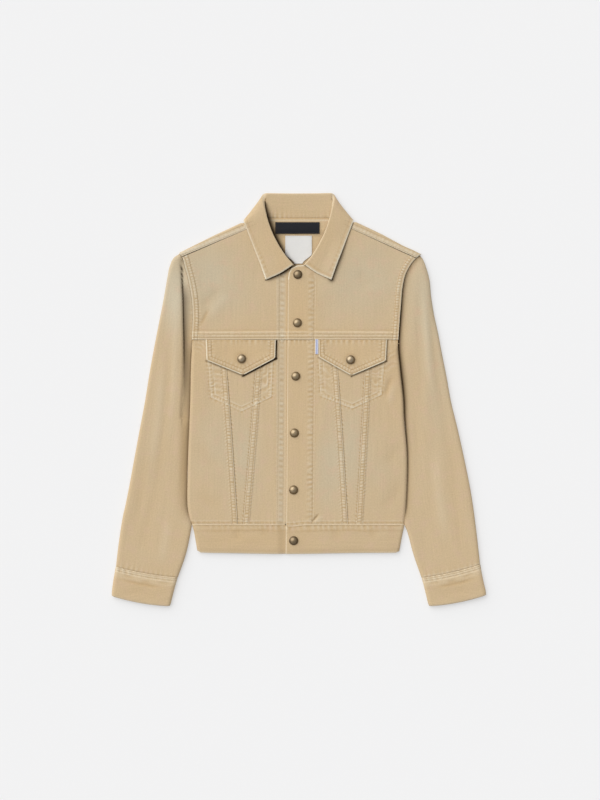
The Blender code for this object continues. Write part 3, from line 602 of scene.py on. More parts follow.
# %% Faded and warm patches
FADED_PATCHES = {   # x, y, reach across, reach along, amount
    "right shoulder": (-150, 208, 46, 62, 0.85), "right yoke": (-112, 168, 52, 48, 0.30),
    "left shoulder": (118, 205, 56, 56, 0.75), "left yoke": (60, 180, 40, 60, 0.30),
    "right sleeve head": (-207, 176, 24, 62, 0.95), "left sleeve head": (212, 165, 30, 90, 0.80),
    "right fork": (-92, -95, 30, 70, 0.65), "left fork": (84, -85, 34, 75, 0.75),
    "left front": (44, -118, 24, 62, 0.60), "right side": (-142, -70, 30, 60, 0.40),
    "left side": (142, -120, 30, 60, 0.35), "right forearm": (-245, -60, 24, 90, 0.10),
    "left forearm": (232, 20, 26, 110, 0.45),
}
WARM_PATCHES = {
    "placket top": (2, 150, 26, 70, 0.45), "placket": (0, -20, 24, 190, 0.40),
    "right underlap": (-28, 0, 9, 240, 0.55), "right flap": (-95, 78, 66, 26, 0.55),
    "left flap": (92, 78, 60, 26, 0.45), "right band": (-90, -232, 90, 20, 0.45),
    "chest": (-60, 122, 90, 20, 0.25), "inside of the neck": (0, 272, 60, 34, 0.55),
    "right cuff": (-256, -306, 60, 26, 0.35), "left cuff": (258, -300, 60, 30, 0.25),
    "right side seam": (-168, 60, 16, 70, 0.35), "left side seam": (160, 60, 16, 70, 0.35),
}


def patches(table, x, y):
    """How much of a table's patches there is at each point, from 0 to 1."""
    total = np.zeros(np.shape(x))
    for middle_x, middle_y, reach_x, reach_y, amount in table.values():
        total += amount * np.exp(-((x - middle_x) / reach_x) ** 2 - ((y - middle_y) / reach_y) ** 2)
    return np.clip(total, 0, 1)


print(len(FADED_PATCHES), "faded and", len(WARM_PATCHES), "warm patches")

# %% [markdown]
# ## From a grid to a piece
#
# Each piece becomes one closed mesh. It rides on the jacket's only body, hides the solid that it stands
# for, and prints how much cloth it has: cloth hardly stretches.

# %% Make a piece of the jacket
PIECES = {}
ROLL_ARC = 1.57       # how far it is round a rolled edge for each mm that the edge comes down


def in_scene(name, data):
    """A new object with this mesh, light or camera, in the scene."""
    made = bpy.data.objects.new(name, data)
    bpy.context.scene.collection.objects.link(made)
    return made


def new_object(name, points, faces, finish, slot, *stands_for):
    """A mesh of points in mm that rides on the jacket's body."""
    mesh = bpy.data.meshes.new(name)
    mesh.from_pydata((np.asarray(points) * MM).tolist(), [], faces)
    mesh.shade_smooth()
    mesh.materials.append(finish)
    made = in_scene(name, mesh)
    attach(made, "root")
    if stands_for:
        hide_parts(*stands_for)
    PIECES[name] = made
    return made


def add_mark(mesh, name, values):
    values = np.clip(values, 0, 1).astype(np.float32)
    mesh.attributes.new(name, "FLOAT", "POINT").data.foreach_set("value", values)


def lay(name, node, cloth, ply, bulge=0.1, grain=None,
        finish=CORDUROY, slot="corduroy", warmth=0.0):
    """Turn a cloth grid into a piece; grain is (across, along) in mm, and the plain one is (x, y)."""
    for fold in CREASES.get(name, ()):
        crease(cloth, *fold)
    for patch in RIPPLES.get(name, ()):
        ripples(cloth, *patch)
    points, faces, source = wall_mesh(cloth, ply, bulge)
    made = new_object(name, points, faces.tolist(), finish, slot, node)
    mesh = made.data
    drop = cloth.z.max() - cloth.z
    across, along = grain if grain else (cloth.x + ROLL_ARC * cloth.normals[..., 0] * drop, cloth.y)
    corner = np.empty(len(mesh.loops), int)
    mesh.loops.foreach_get("vertex_index", corner)
    spots = np.stack([np.ravel(across), np.ravel(along)], axis=1)[source][corner] * MM
    mesh.uv_layers.new(name="Grain").uv.foreach_set("vector", spots.astype(np.float32).ravel())
    on_rim = np.arange(len(source)) >= 2 * cloth.x.size

    def at(values):
        return values.ravel()[source]

    add_mark(mesh, "worn", at(cloth.worn))
    # every rim gets a little painted shade with its richer colour, and a flap's rim gets its own painted
    # shade
    add_mark(mesh, "deep", at(cloth.deep) + 0.2 * on_rim)
    add_mark(mesh, "painted_shade", at(cloth.painted_shade) + at(cloth.rim_painted_shade) * on_rim)
    add_mark(mesh, "faded", at(patches(FADED_PATCHES, cloth.x, cloth.y)))
    add_mark(mesh, "warm", at(warmth + patches(WARM_PATCHES, cloth.x, cloth.y)))
    measured = sum(p.area for p in mesh.polygons) / 2
    print(f"{name}: {len(points)} points, {measured:.4f} m2 of cloth")


# %% [markdown]
# ## Creases and wrinkles
#
# A jacket that has been worn keeps soft creases where the body bent it, mostly down the sleeves and from the
# sides towards the middle. Beside the pocket bags, which don't give, there are patches of short wrinkles.
# One table for all pieces makes them easy to compare, and lay() presses them into each piece.

# %% Creases and wrinkles of every piece
# tone gives a trough a richer colour with painted shade and a ridge paleness; darkness adds painted shade
CREASES = {     # line, width, depth, tone, darkness; a negative depth is a ridge
    "cloth_side_right": (
        (((-150, 30), (-139, 10), (-128, -10)), 8, 0.6, 0.15),
        (((-166, -64), (-150, -96), (-128, -118)), 9, 0.5, 0.1),
        (((-172, -150), (-150, -168), (-122, -170)), 9, 0.4, 0.1)),
    "cloth_side_left": (
        (((154, 42), (147, 20), (140, -1)), 4.5, 1.0, 0.35),
        (((158, 30), (153, 8), (148, -14)), 5, -0.4, 0.1),
        (((168, -70), (150, -100), (134, -110)), 9, 0.5, 0.1),
        (((172, -128), (158, -160), (132, -186)), 10, 0.5, 0.1)),
    "cloth_centre_left": (
        (((19, -205), (25, -197.5), (34, -187)), 1.5, 0.8, 0.7, 0.35),
        (((22, -207), (31, -199), (42, -190)), 3.0, -0.4, 0.15)),
    "cloth_yoke_right": (
        (((-165, 119), (-157, 133), (-148, 152)), 2.4, 0.6, 0.55),
        (((-163, 148), (-146, 166), (-127, 189)), 8, 0.7, 0.12),
        (((-150, 128), (-138, 150), (-112, 178)), 8, -0.5, 0.10)),
    "cloth_yoke_left": (
        (((120, 180), (110, 198), (96, 214)), 10, 0.8, 0.1),),
    "cloth_waistband": (
        (((-104, -212), (-101, -224), (-102, -236)), 7, 0.5, 0.15),
        (((-60, -210), (-57, -219), (-58, -228)), 6, 0.35, 0.15),
        (((58, -211), (61, -224.5), (60, -238)), 8, 0.5, 0.15),
        (((120, -210), (123, -221), (122, -232)), 7, 0.4, 0.15),
        (((150, -212), (153, -226), (152, -240)), 6, 0.3, 0.15)),
    "cloth_sleeve_right": (
        (((-187, 20), (-188, -40), (-190, -110), (-192, -190)), 7.0, 0.9, 0.35),
        (((-204, 200), (-203, 120), (-206, 20), (-215, -80)), 7.0, -0.5, 0.1),
        (((-222, 90), (-230, -20), (-246, -140)), 9.0, -0.45, 0.12),
        (((-214, 120), (-218, 20), (-232, -120), (-240, -200)), 8.0, 0.55, 0.15),
        (((-246, -60), (-262, -160), (-276, -240)), 9.0, 0.45, 0.1),
        (((-236, -150), (-252, -215), (-258, -262)), 8.0, 0.5, 0.1),
        (((-213, -190), (-222, -240), (-228, -280)), 8.0, -0.4, 0.1)),
    "cloth_sleeve_left": (
        (((204, 222), (208, 150), (214, 70), (222, -10)), 5.5, -0.7, 0.12),
        (((213, 218), (218, 150), (226, 60), (238, -40)), 6.0, 0.7, 0.18),
        (((196, 190), (198, 110), (200, 30), (206, -60)), 7.0, 0.5, 0.1),
        (((186, 120), (190, 30), (194, -60), (200, -150)), 7.0, 0.35, 0.1),
        (((232, 40), (244, -60), (262, -170)), 9.0, 0.5, 0.1),
        (((222, -70), (232, -160), (246, -250)), 9.0, -0.45, 0.1),
        (((250, -120), (262, -190), (270, -262)), 8.0, 0.4, 0.1)),
}
RIPPLES = {     # middle, reach, length, depth, seed, lean, tone
    "cloth_side_right": (
        ((-137, 32), (12, 28), 8.8, 0.26, 137, 0.05, 0.55),
        ((-160, 88), (10, 10), 7.0, 0.18, 139, 0.5, 0.4)),
    "cloth_side_left": (
        ((126, 34), (11, 24), 8.5, 0.22, 133, 0.2, 0.45),
        ((148, 66), (14, 20), 9.5, 0.18, 135, -0.4, 0.35)),
    "cloth_centre_right": (
        ((-58, 34), (11, 27), 9.5, 0.24, 141, -0.8, 0.5),),
    "cloth_centre_left": (
        ((44, 34), (9, 26), 9.0, 0.22, 143, 0.5, 0.45),),
}
print(sum(map(len, CREASES.values())), "creases and", sum(map(len, RIPPLES.values())), "patches of wrinkles")

# %% [markdown]
# ## The body's lines
#
# These tables are the jacket's outlines and seams as it lies: how far from the middle each line is at each
# height. They are the ones that the solids were made from, so every piece lands on its solid.

# %% Cloth, seams and levels, in millimetres
PLY, DOUBLE_PLY, LABEL_PLY = 1.6, 2.0, 1.0
SEAM_GAP, ARMHOLE_GAP, LAYER_GAP = 0.14, 0.2, 0.3
BAND_WIDTH, BAND_RISE, BAND_FOOT = 9.5, 0.6, 1.6
FRONT_TOP, UNDERLAP_TOP, PLACKET_TOP = 6.6, 4.2, 6.9
SLEEVE_TOP, SLEEVE_AT_ARMHOLE, SLEEVE_LOWEST = 6.8, 5.2, 4.0
WAISTBAND_TOP, CUFF_TOP, SHOULDER_TOP = 7.0, 7.4, 7.1
SIDE_SEAM_HEIGHT = 1.8        # the front's side fold comes down to the back here
ROLL_WIDTH = 6.0
CHEST_SEAM, CHEST_BAND_RISE, BACK_YOKE_SEAM = 98.7, 1.0, 112.0
WAIST_SEAM, HEM = -205.7, -252.5
PLACKET_STITCH, UNDERLAP_FOLD, UNDERLAP_SLOPE, UNDERLAP_END = 23.0, -37.0, 14.0, 10.0
BODY = {
    "right": curve((
        (-255, -167.6), (-231, -171.5), (-208.7, -176.1), (-195.2, -181.7), (-119.3, -184.3),
        (-43.6, -181.7), (-0.8, -179.7), (61.2, -178.5), (98.2, -176.6), (112.2, -175.8), (142.2, -175.0),
        (172.3, -177.2), (200, -182.6), (218, -187.5), (236, -193.0), (242, -198.0))),
    "left": curve((
        (-255, 165.3), (-231, 169.8), (-208.7, 173.9), (-182.3, 176.6), (-133, 178.9), (-93, 178.9),
        (-30.5, 173.9), (-0.8, 172.6), (49.7, 167.3), (88.9, 163.8), (119.1, 165.4), (139, 166.8),
        (158.4, 168.4), (186.3, 171.0), (209.4, 177.0), (230.2, 190.2), (239.4, 201.0))),
}
OUTER = {
    "right": curve(((-206, -101.0), (-50, -111.4), (50, -119.1), (100, -122.5))),
    "left": curve(((-206, 94.7), (-50, 103.6), (50, 109.1), (100, 112.0))),
}
INNER = {
    "right": curve(((-206, -92.2), (-50, -79.0), (50, -71.4), (100, -67.8))),
    "left": curve(((-206, 81.0), (-50, 71.4), (50, 64.0), (100, 60.0))),
}
EDGE = {
    "right": lambda y: UNDERLAP_END + 0 * y,
    "left": lambda y: np.interp(y, (-256, 210), (-21.3, -17.7)),
}
print("across the body at the waist seam:", round(float(BODY["left"](-205) - BODY["right"](-205)), 1), "mm")

# %% [markdown]
# The front lies over the back with a little air between. Its right edge goes under the left one, so the
# cloth steps down there, and the left edge is doubled for the buttons, so it is a little thicker.

# %% Heights of the fronts
BAND_COLUMNS = np.array([0, 0.5, 1.1, 1.8, 2.6, 3.6, 4.8, 6.0, 7.0, 7.8, 8.5, 9.1, 9.7, 10.3, 11.1, 12.4])
LOWER_ROWS = 270
LOWER_Y = mix(CHEST_SEAM, WAIST_SEAM, np.linspace(0, 1, LOWER_ROWS))[:, None]


def front_height(side, x):
    if side == "right":
        return mix(FRONT_TOP, UNDERLAP_TOP, smooth((x - UNDERLAP_FOLD) / UNDERLAP_SLOPE))
    return mix(PLACKET_TOP, FRONT_TOP, smooth((x - PLACKET_STITCH + 3) / 3))


def waist_at(side, x):
    """The waist seam's height; it dips a little where the left front ends."""
    return WAIST_SEAM - 2.6 * hump(x + 14, 16) * (side == "left")


def lower_grid(side, x, turn=1.0, fold_height=None):
    """Cloth of a lower front from the chest seam to the waist seam, for x rows by columns."""
    share = np.linspace(0, 1, len(x))[:, None]
    y = mix(CHEST_SEAM - SEAM_GAP / 2, waist_at(side, x) + SEAM_GAP / 2, share)
    top = front_height(side, x)
    if fold_height is not None:
        lowest = mix(top, fold_height, smooth((CHEST_SEAM - 4 - y) / 16))
        top = mix(lowest, top, turn)
    return grid(x, y, top)


print("rows on a lower front:", LOWER_ROWS, "one every",
      round((CHEST_SEAM - WAIST_SEAM) / LOWER_ROWS, 2), "mm")

# %% [markdown]
# ## The forked seams
#
# Two seams run down each front from under the pocket flap, closing towards the waist like a fork. Their
# allowances are pressed away from the fork and stitched down twice, which leaves a raised band with a
# ladder of pillows. A line of painted shade lies where the band ends above the fork.

# %% Lines that the fronts share
BAND_ROWS = (1.6, 8.0)        # the two rows of stitches on a pressed band
PILLOW = 4.8                  # length of the pillows between them
FLAP_LINE = 58.0              # the flaps hide the bands above this
POCKETS = {     # pocket bags behind the fronts, stitched through: outer corners, top to top
    "right": ((-150.5, 62), (-145.2, 3.4), (-94.4, -19.8), (-45.2, 4.2), (-43.0, 62)),
    "left": ((32.6, 62), (35.6, 5.6), (88.4, -15.0), (136.4, 7.6), (140.6, 62)),
}
POCKET_INSET = 6.6


def seam_line(at, offset, start, end, count=18):
    """A line beside a seam: offset to the side, from one height to another."""
    heights = np.linspace(start, end, count)
    return line(*zip(at(heights) + offset, heights))


def inset(path, by):
    """The same line moved to its left by a distance, with its corners kept."""
    moved = []
    for n, (x, y) in enumerate(path):
        ends = [path[max(n - 1, 0)], (x, y), path[min(n + 1, len(path) - 1)]]
        ways = [np.subtract(b, a) / math.dist(a, b) for a, b in zip(ends[:-1], ends[1:]) if a != b]
        sides = [np.array((-way[1], way[0])) for way in ways]
        middle = sum(sides) / np.linalg.norm(sum(sides))
        moved.append((x, y) + middle * by / max(float(middle @ sides[0]), 0.3))
    return line(*moved)


def pressed_band(cloth, at, way, top, seed):
    """A seam's allowance, pressed to +X or -X (way 1 or -1) and held by two rows of stitches."""
    def row(offset, low=WAIST_SEAM):
        return seam_line(at, way * offset, top, low)

    held = smooth((44 - cloth.y) / 10) * smooth((cloth.y - WAIST_SEAM - 2) / 8)
    distance = way * (cloth.x - at(cloth.y))
    cloth.rise += BAND_RISE * held * smooth((BAND_WIDTH + BAND_FOOT - distance) / BAND_FOOT)
    for offset in BAND_ROWS:
        sew(cloth, row(offset, WAIST_SEAM + 1), "front", tone=1.5)
    ladder(cloth, row(BAND_ROWS[0]), BAND_ROWS[1] - BAND_ROWS[0], PILLOW, 0.40, seed,
           side=way, tone=1.25, notch_width=0.22)
    pucker(cloth, row(BAND_ROWS[1] + 0.6), 3.2, 5.2, 0.16, seed + 10, side=way, slant=0.5, tone=0.8)
    # painted shade where the band ends
    shade(cloth, row(BAND_WIDTH + 0.8), 0.8, 0.10)
    pale_edge(cloth, row(0.2), 0.35, 0.9, 0.1)


corner = inset(POCKETS["left"], POCKET_INSET)[2]
print("a pocket's lowest corner on the inner row:", [round(v, 1) for v in corner])

# %% [markdown]
# The pocket flaps are made later, but their shadow is painted on the fronts, so their outline comes first:
# two upright edges and two lower ones meeting in a point. The painted shade is darkest away from the light.

# %% What the pockets, flaps and cross seams do to a lower front
FLAPS = {       # x of the top corners; x, y of both lower corners; x, y of the point
    "right": {"top": (-153.1, -38.5), "shoulder": (-151.8, 65.0, -39.3, 68.5), "point": (-92.1, 40.6)},
    "left": {"top": (33.0, 144.8), "shoulder": (33.2, 70.1, 142.9, 64.0), "point": (86.6, 39.9)},
}
# how much painted shade lies under each of a flap's edges
FLAP_SHADE = {  # for the upright and the lower edge at +X, then the lower and the upright edge at -X
    "right": (1.0, 0.98, 0.45, 0.10), "left": (0.42, 0.54, 0.28, 0.12),
}
FLAP_BUTTONS = {"right": (-94.5, 67.3), "left": (85.0, 65.7)}


def flap_rim(shape, top):
    """A flap's free edge, from its top at -X to its top at +X."""
    low = shape["shoulder"]
    return line((shape["top"][0], top), low[:2], shape["point"], low[2:], (shape["top"][1], top))


def sew_front(cloth, side, seed):
    """The stitched pocket bag behind a lower front, the chest and waist seams, and the flap's shade."""
    pocket = POCKETS[side]
    welt(cloth, pocket, seed, 1.25)
    welt(cloth, inset(pocket, POCKET_INSET), seed + 1, 1.0)
    ladder(cloth, pocket, POCKET_INSET, 5.6, 0.26, seed, side=1, tone=0.9, notch_width=0.24)
    pucker(cloth, pocket, 3.4, 6.4, 0.18, seed + 3, side=-1, tone=0.775)

    low, high = (BODY[side](0), 12) if side == "right" else (-24, BODY[side](0))
    chest = line((low, CHEST_SEAM - 1.0), (high, CHEST_SEAM - 1.0))
    waist = line((low, WAIST_SEAM + 0.6), (high, WAIST_SEAM + 0.6))
    pucker(cloth, chest, 5.5, 7.5, 0.22, seed + 5, tone=0.7)
    pucker(cloth, waist, 5.0, 8.5, 0.20, seed + 7, slant=0.3, tone=0.45)
    above = cloth.y - waist_at(side, cloth.x)
    # a richer colour with painted shade below the chest seam and in a line above the waist seam
    cloth.deep += 0.30 * hump(cloth.y - CHEST_SEAM, 2.2) + 0.72 * hump(above - 3.4, 0.9)
    cloth.worn += 0.20 * hump(above - 5.4, 1.3) * varied(0.25, cloth.x, 12.0, seed + 9)
    cloth.worn += 0.16 * hump(above, 1.0)
    cloth.rise -= 0.20 * hump(above, 2.0)

    # painted shade under the flap's edges, strongest away from the light
    rim = inset(flap_rim(FLAPS[side], CHEST_SEAM - 2), -1.75)
    for n, painted_shade in enumerate(FLAP_SHADE[side]):
        shade(cloth, rim[3 - n:5 - n], 0.8 + 0.9 * painted_shade, 1.22 * painted_shade)


print("flaps", [round(b - a, 1) for a, b in (f["top"] for f in FLAPS.values())], "mm wide")

# %% [markdown]
# ## Side panels
#
# The outermost front panels run to the side folds, where the front rolls down to the back, so their last
# columns turn down in a quarter circle.

# %% Side panels
def side_panel(side):
    sign = SIGN[side]
    edge = BODY[side](LOWER_Y)
    band = OUTER[side](LOWER_Y) + sign * SEAM_GAP / 2 + sign * BAND_COLUMNS
    field = mix(band[:, -1:], edge - sign * ROLL_WIDTH, np.linspace(0, 1, 24)[1:-1])
    turns = np.radians(np.linspace(90, 0, 11))
    x = np.hstack([band, field, edge - sign * ROLL_WIDTH * (1 - np.cos(turns))])
    turn = np.hstack([np.ones(band.shape[1] + field.shape[1]), np.sin(turns)])
    cloth = lower_grid(side, x, turn, SIDE_SEAM_HEIGHT)
    pressed_band(cloth, OUTER[side], sign, FLAP_LINE if side == "right" else FLAP_LINE - 4, 11 + sign)
    return cloth


for side, seed, depth in (("right", 100, 0.36), ("left", 130, 0.50)):
    panel = side_panel(side)
    sew_front(panel, side, seed)
    loose = smooth((SIGN[side] * (panel.x - OUTER[side](panel.y)) - 12) / 16)
    drape(panel, 46, 70, depth, seed + 9, loose)
    if side == "left":
        # painted shade along the body's edge beside the sleeve, and the whole panel a little darker
        shade(panel, seam_line(BODY[side], 0, 100, -196, 40), 0.6, 1.2)
        panel.deep += 0.08
    lay("cloth_side_" + side, "front_outer_" + side, panel, PLY)

# %% [markdown]
# The panels inside the fork have no band of their own. A thin line of painted shade stands for the bands'
# shadow on their edges, and the stitched pocket bag crosses them near the top.

# %% Panels inside the forks
# how much painted shade lies along the outer and the inner seam
FORK_SHADE = {"right": (0.38, 0.14), "left": (0.04, 0.26)}      # along the outer and the inner seam


def fork_panel(side):
    sign = SIGN[side]
    first = OUTER[side](LOWER_Y) - sign * SEAM_GAP / 2
    last = INNER[side](LOWER_Y) + sign * SEAM_GAP / 2
    near_edge = np.array([0, 0.012, 0.03, 0.055, 0.085])
    shares = np.r_[near_edge, np.linspace(0.12, 0.88, 15), 1 - near_edge[::-1]]
    cloth = lower_grid(side, mix(first, last, shares))
    for at, seed, painted_shade in zip((OUTER, INNER), (41 - sign, 41 + sign), FORK_SHADE[side]):
        path = seam_line(at[side], 0, FLAP_LINE, WAIST_SEAM)
        near = hump(cloth.off(path), 1.5)
        # a richer colour with painted shade in the seam's groove
        cloth.deep += 0.55 * near * smooth((FLAP_LINE - cloth.y) / 30)
        cloth.rise -= 0.30 * near
        shade(cloth, path, 0.9, painted_shade)
        pucker(cloth, path, 3.0, 5.6, 0.18, seed, slant=-0.4, tone=0.8)
    return cloth


for side, seed in (("right", 160), ("left", 190)):
    panel = fork_panel(side)
    sew_front(panel, side, seed)
    drape(panel, 30, 60, 0.22, seed + 9)
    lay("cloth_fork_" + side, "front_mid_" + side, panel, PLY)

# %% [markdown]
# ## Centre fronts and the placket
#
# The front edge is folded back and stitched down, which makes the placket, 44 mm wide. The doubled cloth has
# shrunk less than the row of stitches beside it, so short puckers run across both sides of that row. On the
# right front the same happens on the slope that goes under the left edge.

# %% Centre fronts
EDGE_COLUMNS = np.array([2.2, 1.5, 0.9, 0.4, 0.0])
PLACKET_ROW = {     # the long row of stitches beside each front edge
    "right": lambda y: np.interp(y, (-206, 200), (-35.6, -32.2)),
    "left": lambda y: np.interp(y, (-206, 200), (21.9, 25.2)),
}


def placket_columns(side, foot, last):
    """Columns from the foot of the band to the front edge, close together where the cloth is stitched."""
    if side == "right":
        parts = (mix(foot, -46.0, np.linspace(0, 1, 14)[1:]), -46 + np.linspace(0, 32, 27)[1:],
                 mix(-14.0, last, np.linspace(0, 1, 9)[1:]))
    else:
        parts = (mix(foot, 34.0, np.linspace(0, 1, 12)[1:]), 34 - np.linspace(0, 24, 21)[1:],
                 mix(10.0, last + 3.0, np.linspace(0, 1, 13)[1:]), last + EDGE_COLUMNS)
    return np.hstack([part + 0 * foot for part in parts])


def sew_placket(cloth, side, low, high, seed):
    """The placket's stitches and puckers on the left, and the underlap's on the right."""
    def row(offset, at=PLACKET_ROW[side]):
        return seam_line(at, offset, low, high)

    sew(cloth, row(0), "front")
    if side == "right":
        sew(cloth, row(9.6), None, 0.22)
        ladder(cloth, row(1.6), 7.4, 9.0, 0.28, seed, side=-1, notch_width=0.26)
        pucker(cloth, row(0), 3.5, 8.0, 0.14, seed + 2, side=1, tone=0.25)
        cloth.worn += 0.20 * smooth((cloth.x + 38.0) / 1.8) * smooth((-20.5 - cloth.x) / 1.8)
        # painted shade on the underlap beside the left front's edge
        under = hump(cloth.x - EDGE["left"](cloth.y) + 2.0, 4.2) * smooth((210 - cloth.y) / 20)
        cloth.deep += 0.14 * under * varied(0.25, cloth.y, 11.0, seed + 7)
    else:
        ladder(cloth, row(-0.6), 9.6, 9.0, 0.24, seed, side=1, tone=0.68, notch_width=0.26)
        pucker(cloth, row(-0.4), 4.2, 7.4, 0.24, seed + 4, side=1, tone=0.85)
        pucker(cloth, row(0), 3.2, 7.0, 0.14, seed + 2, side=-1, tone=0.35)
        welt(cloth, row(3.0), seed + 5, 0.35)
        pale_edge(cloth, row(0, EDGE["left"]), 0.36, 1.1, 0.35)


def centre_front(side):
    sign = SIGN[side]
    band = INNER[side](LOWER_Y) - sign * SEAM_GAP / 2 - sign * BAND_COLUMNS
    placket = placket_columns(side, band[:, -1:], EDGE[side](LOWER_Y))
    cloth = lower_grid(side, np.hstack([band, placket]))
    pressed_band(cloth, INNER[side], -sign, FLAP_LINE, 51 + sign)
    return cloth


for side, seed in (("right", 220), ("left", 250)):
    panel = centre_front(side)
    sew_front(panel, side, seed)
    sew_placket(panel, side, WAIST_SEAM, CHEST_SEAM, seed + 12)
    loose = smooth((np.abs(panel.x - INNER[side](panel.y)) - 12) / 10) * smooth((np.abs(panel.x) - 34) / 8)
    drape(panel, 34, 60, 0.26, seed + 9, loose)
    lay("cloth_centre_" + side, "front_inner_" + side, panel, PLY)

# %% [markdown]
# ## Where the collar lies
#
# The collar is made later, but its shadow is painted on the cloth under its edges, so its table comes
# first. Each row is one section: x, y, z of the neck seam and of the fold, how far the fold has turned in
# degrees, and x, y, z of the fall's middle and of its edge.

# %% The collar's table and its painted shade
COLLAR_LEFT_SCALE, COLLAR_LEFT_EDGE = 0.97, 0.984      # the left wing lies a little closer in
COLLAR_ROWS = (     # from the middle of the back to the front edge, on one side
    (0.0, 299.7, 3.6, 0.0, 340.5, 3.2, 90, 0.0, 315, 1.0, 0.0, 288.0, 1.0),
    (18.0, 299.7, 3.6, 18.0, 340.6, 3.2, 90, 19.0, 315, 1.0, 23.0, 288.0, 1.0),
    (35.0, 299.7, 3.6, 35.0, 340.7, 3.2, 86, 38.0, 315, 1.0, 44.0, 288.0, 1.0),
    (49.0, 300.0, 3.7, 49.0, 340.9, 3.5, 66, 53.0, 316, 1.0, 62.0, 288.5, 1.0),
    (60.0, 300.6, 3.9, 55.4, 340.4, 4.1, 38, 65.5, 315, 1.1, 77.0, 289.5, 1.0),
    (66.5, 300.8, 4.2, 57.6, 337.1, 4.8, 12, 73.6, 315.3, 2.2, 87.4, 292.0, 1.2),
    (69.6, 299.6, 4.7, 57.8, 331.8, 5.6, -16, 76.2, 314.6, 5.0, 91.6, 296.0, 4.6),
    (69.0, 294.4, 5.3, 57.2, 325.0, 6.6, -46, 74.0, 307, 8.6, 89.8, 291.2, 8.9),
    (67.4, 288.4, 5.8, 55.6, 315.0, 7.5, -74, 71.5, 298, 9.7, 86.8, 283.5, 9.0),
    (62.6, 281.2, 5.8, 52.6, 302.0, 7.8, -86, 67.5, 287, 9.7, 82.6, 272.6, 8.8),
    (57.4, 273.0, 5.8, 47.8, 287.0, 7.9, -90, 62.8, 274, 9.6, 78.2, 261.2, 8.6),
    (52.0, 265.2, 5.8, 42.2, 273.0, 7.9, -90, 57.8, 261, 9.5, 73.4, 248.8, 8.4),
    (45.2, 253.8, 5.8, 35.2, 259.4, 7.9, -90, 51.8, 248, 9.5, 68.6, 236.7, 8.4),
    (37.0, 243.6, 5.8, 27.8, 246.6, 7.9, -90, 45.6, 235, 9.4, 64.0, 225.2, 8.4),
    (25.6, 232.6, 5.8, 19.4, 234.6, 7.9, -90, 38.8, 222.5, 9.4, 59.4, 212.6, 8.4),
    (13.0, 223.8, 5.9, 8.6, 222.3, 7.9, -90, 31.0, 208.9, 9.4, 54.4, 198.2, 8.4),
)
OUTER_EDGE = [row[10:12] for row in COLLAR_ROWS[:6:-1]]
# painted shadow of the collar's wings on the cloth below
UNDER_WINGS = {     # line on the cloth below; axis, keys and widths of the shade along it; how dark it is
    "right front edge": (((-5.5, 224.0), (-8.6, 222.0), (-31, 208.6), (-54.4, 197.4), (-57, 197)),
                         "x", (-57, -53, -46, -31, -20, -9), (0.1, 1.8, 3.8, 5.0, 4.6, 2.6), 1.15),
    "left front edge": (((8.4, 221.6), (30.2, 208.8), (53.8, 197.6)),
                        "x", (8, 30, 54), (0.9, 1.0, 1.6), 0.45),
    "left outer edge": ([(COLLAR_LEFT_EDGE * x + 0.6, y - 0.3) for x, y in OUTER_EDGE],
                        "y", (198, 210, 222, 238, 263, 290), (4.2, 4.4, 4.4, 4.0, 1.5, 0.9), 0.88),
    "right outer edge": ([(-x - 0.3, y) for x, y in OUTER_EDGE], "y", (198, 290), (0.7, 0.7), 0.22),
}
RIGHT_FOLD = [(-row[3] + 0.8, row[4]) for row in COLLAR_ROWS[4:]]


# painted shadow of the collar's wings on the cloth below them
def under_collar(cloth):
    for path, axis, keys, widths, painted_shade in UNDER_WINGS.values():
        width = np.interp(getattr(cloth, axis), keys, widths)
        cloth.painted_shade += painted_shade * hump(cloth.off(path), width, 1.8) * cloth.front


def beside_right_wing(cloth, painted_shade):
    """Painted shade inside the neck, along the fold of the right wing."""
    width = np.interp(cloth.y, (235, 247, 263, 280, 299, 321, 335), (3.6, 4.2, 5.4, 8.6, 7.2, 3.8, 2.4))
    cloth.painted_shade += painted_shade * hump(cloth.off(RIGHT_FOLD), width, 1.8)


print("the collar is measured at", 2 * len(COLLAR_ROWS) - 1, "sections")

# %% [markdown]
# ## Chest yokes
#
# Each yoke runs from the chest seam to the shoulder and the neckline. Its sections fan out, because the
# armhole side is shorter than the front edge. It lies over the lower front with a band stitched down
# twice, and over the sleeve with another.

# %% Sections of a chest yoke
YOKE_ROWS = {   # front edge's x and y, then the height on the armhole
    "right": (
        (10, 98.7, 98.7), (10, 112.2, 110), (10, 135, 124), (10, 160, 139), (10, 182, 154), (9, 198, 167),
        (5, 208, 178), (-3, 215, 187), (-11, 220.5, 196), (-27, 231, 206), (-42, 246, 216),
        (-55, 266, 226), (-70, 288, 235)),
    "left": (
        (-18.8, 98.7, 98.7), (-18.6, 112.2, 110), (-18.4, 135, 124), (-18.1, 160, 139), (-17.9, 182, 154),
        (-17.6, 199, 167), (-16.2, 209, 178), (-12, 216.5, 187), (-3, 221.0, 196), (12, 221.6, 205),
        (27, 231, 214), (42, 246, 222), (55, 266, 228), (70, 289.5, 233)),
}


def yoke_sections(side):
    """Rows of (x, y, armhole height, rise), about 1.4 mm apart."""
    first, band_top = YOKE_ROWS[side][:2]
    last = YOKE_ROWS[side][-1]
    table = [(first[0], first[1] + SEAM_GAP / 2, first[2] + SEAM_GAP / 2, CHEST_BAND_RISE),
             (*band_top, CHEST_BAND_RISE), (band_top[0], band_top[1] + 1.5, band_top[2] + 1.5, 0.0)]
    table += [(*row, 0.0) for row in YOKE_ROWS[side][2:-1]]
    table = np.array(table + [(last[0], last[1] - SEAM_GAP, last[2] - SEAM_GAP, 0.0)])
    rows = []
    for low, high in zip(table[:-1], table[1:]):
        steps = max(2, math.ceil(math.dist(low[:2], high[:2]) / 1.4))
        rows += [mix(low, high, n / steps) for n in range(steps)]
    return rows + [table[-1]]


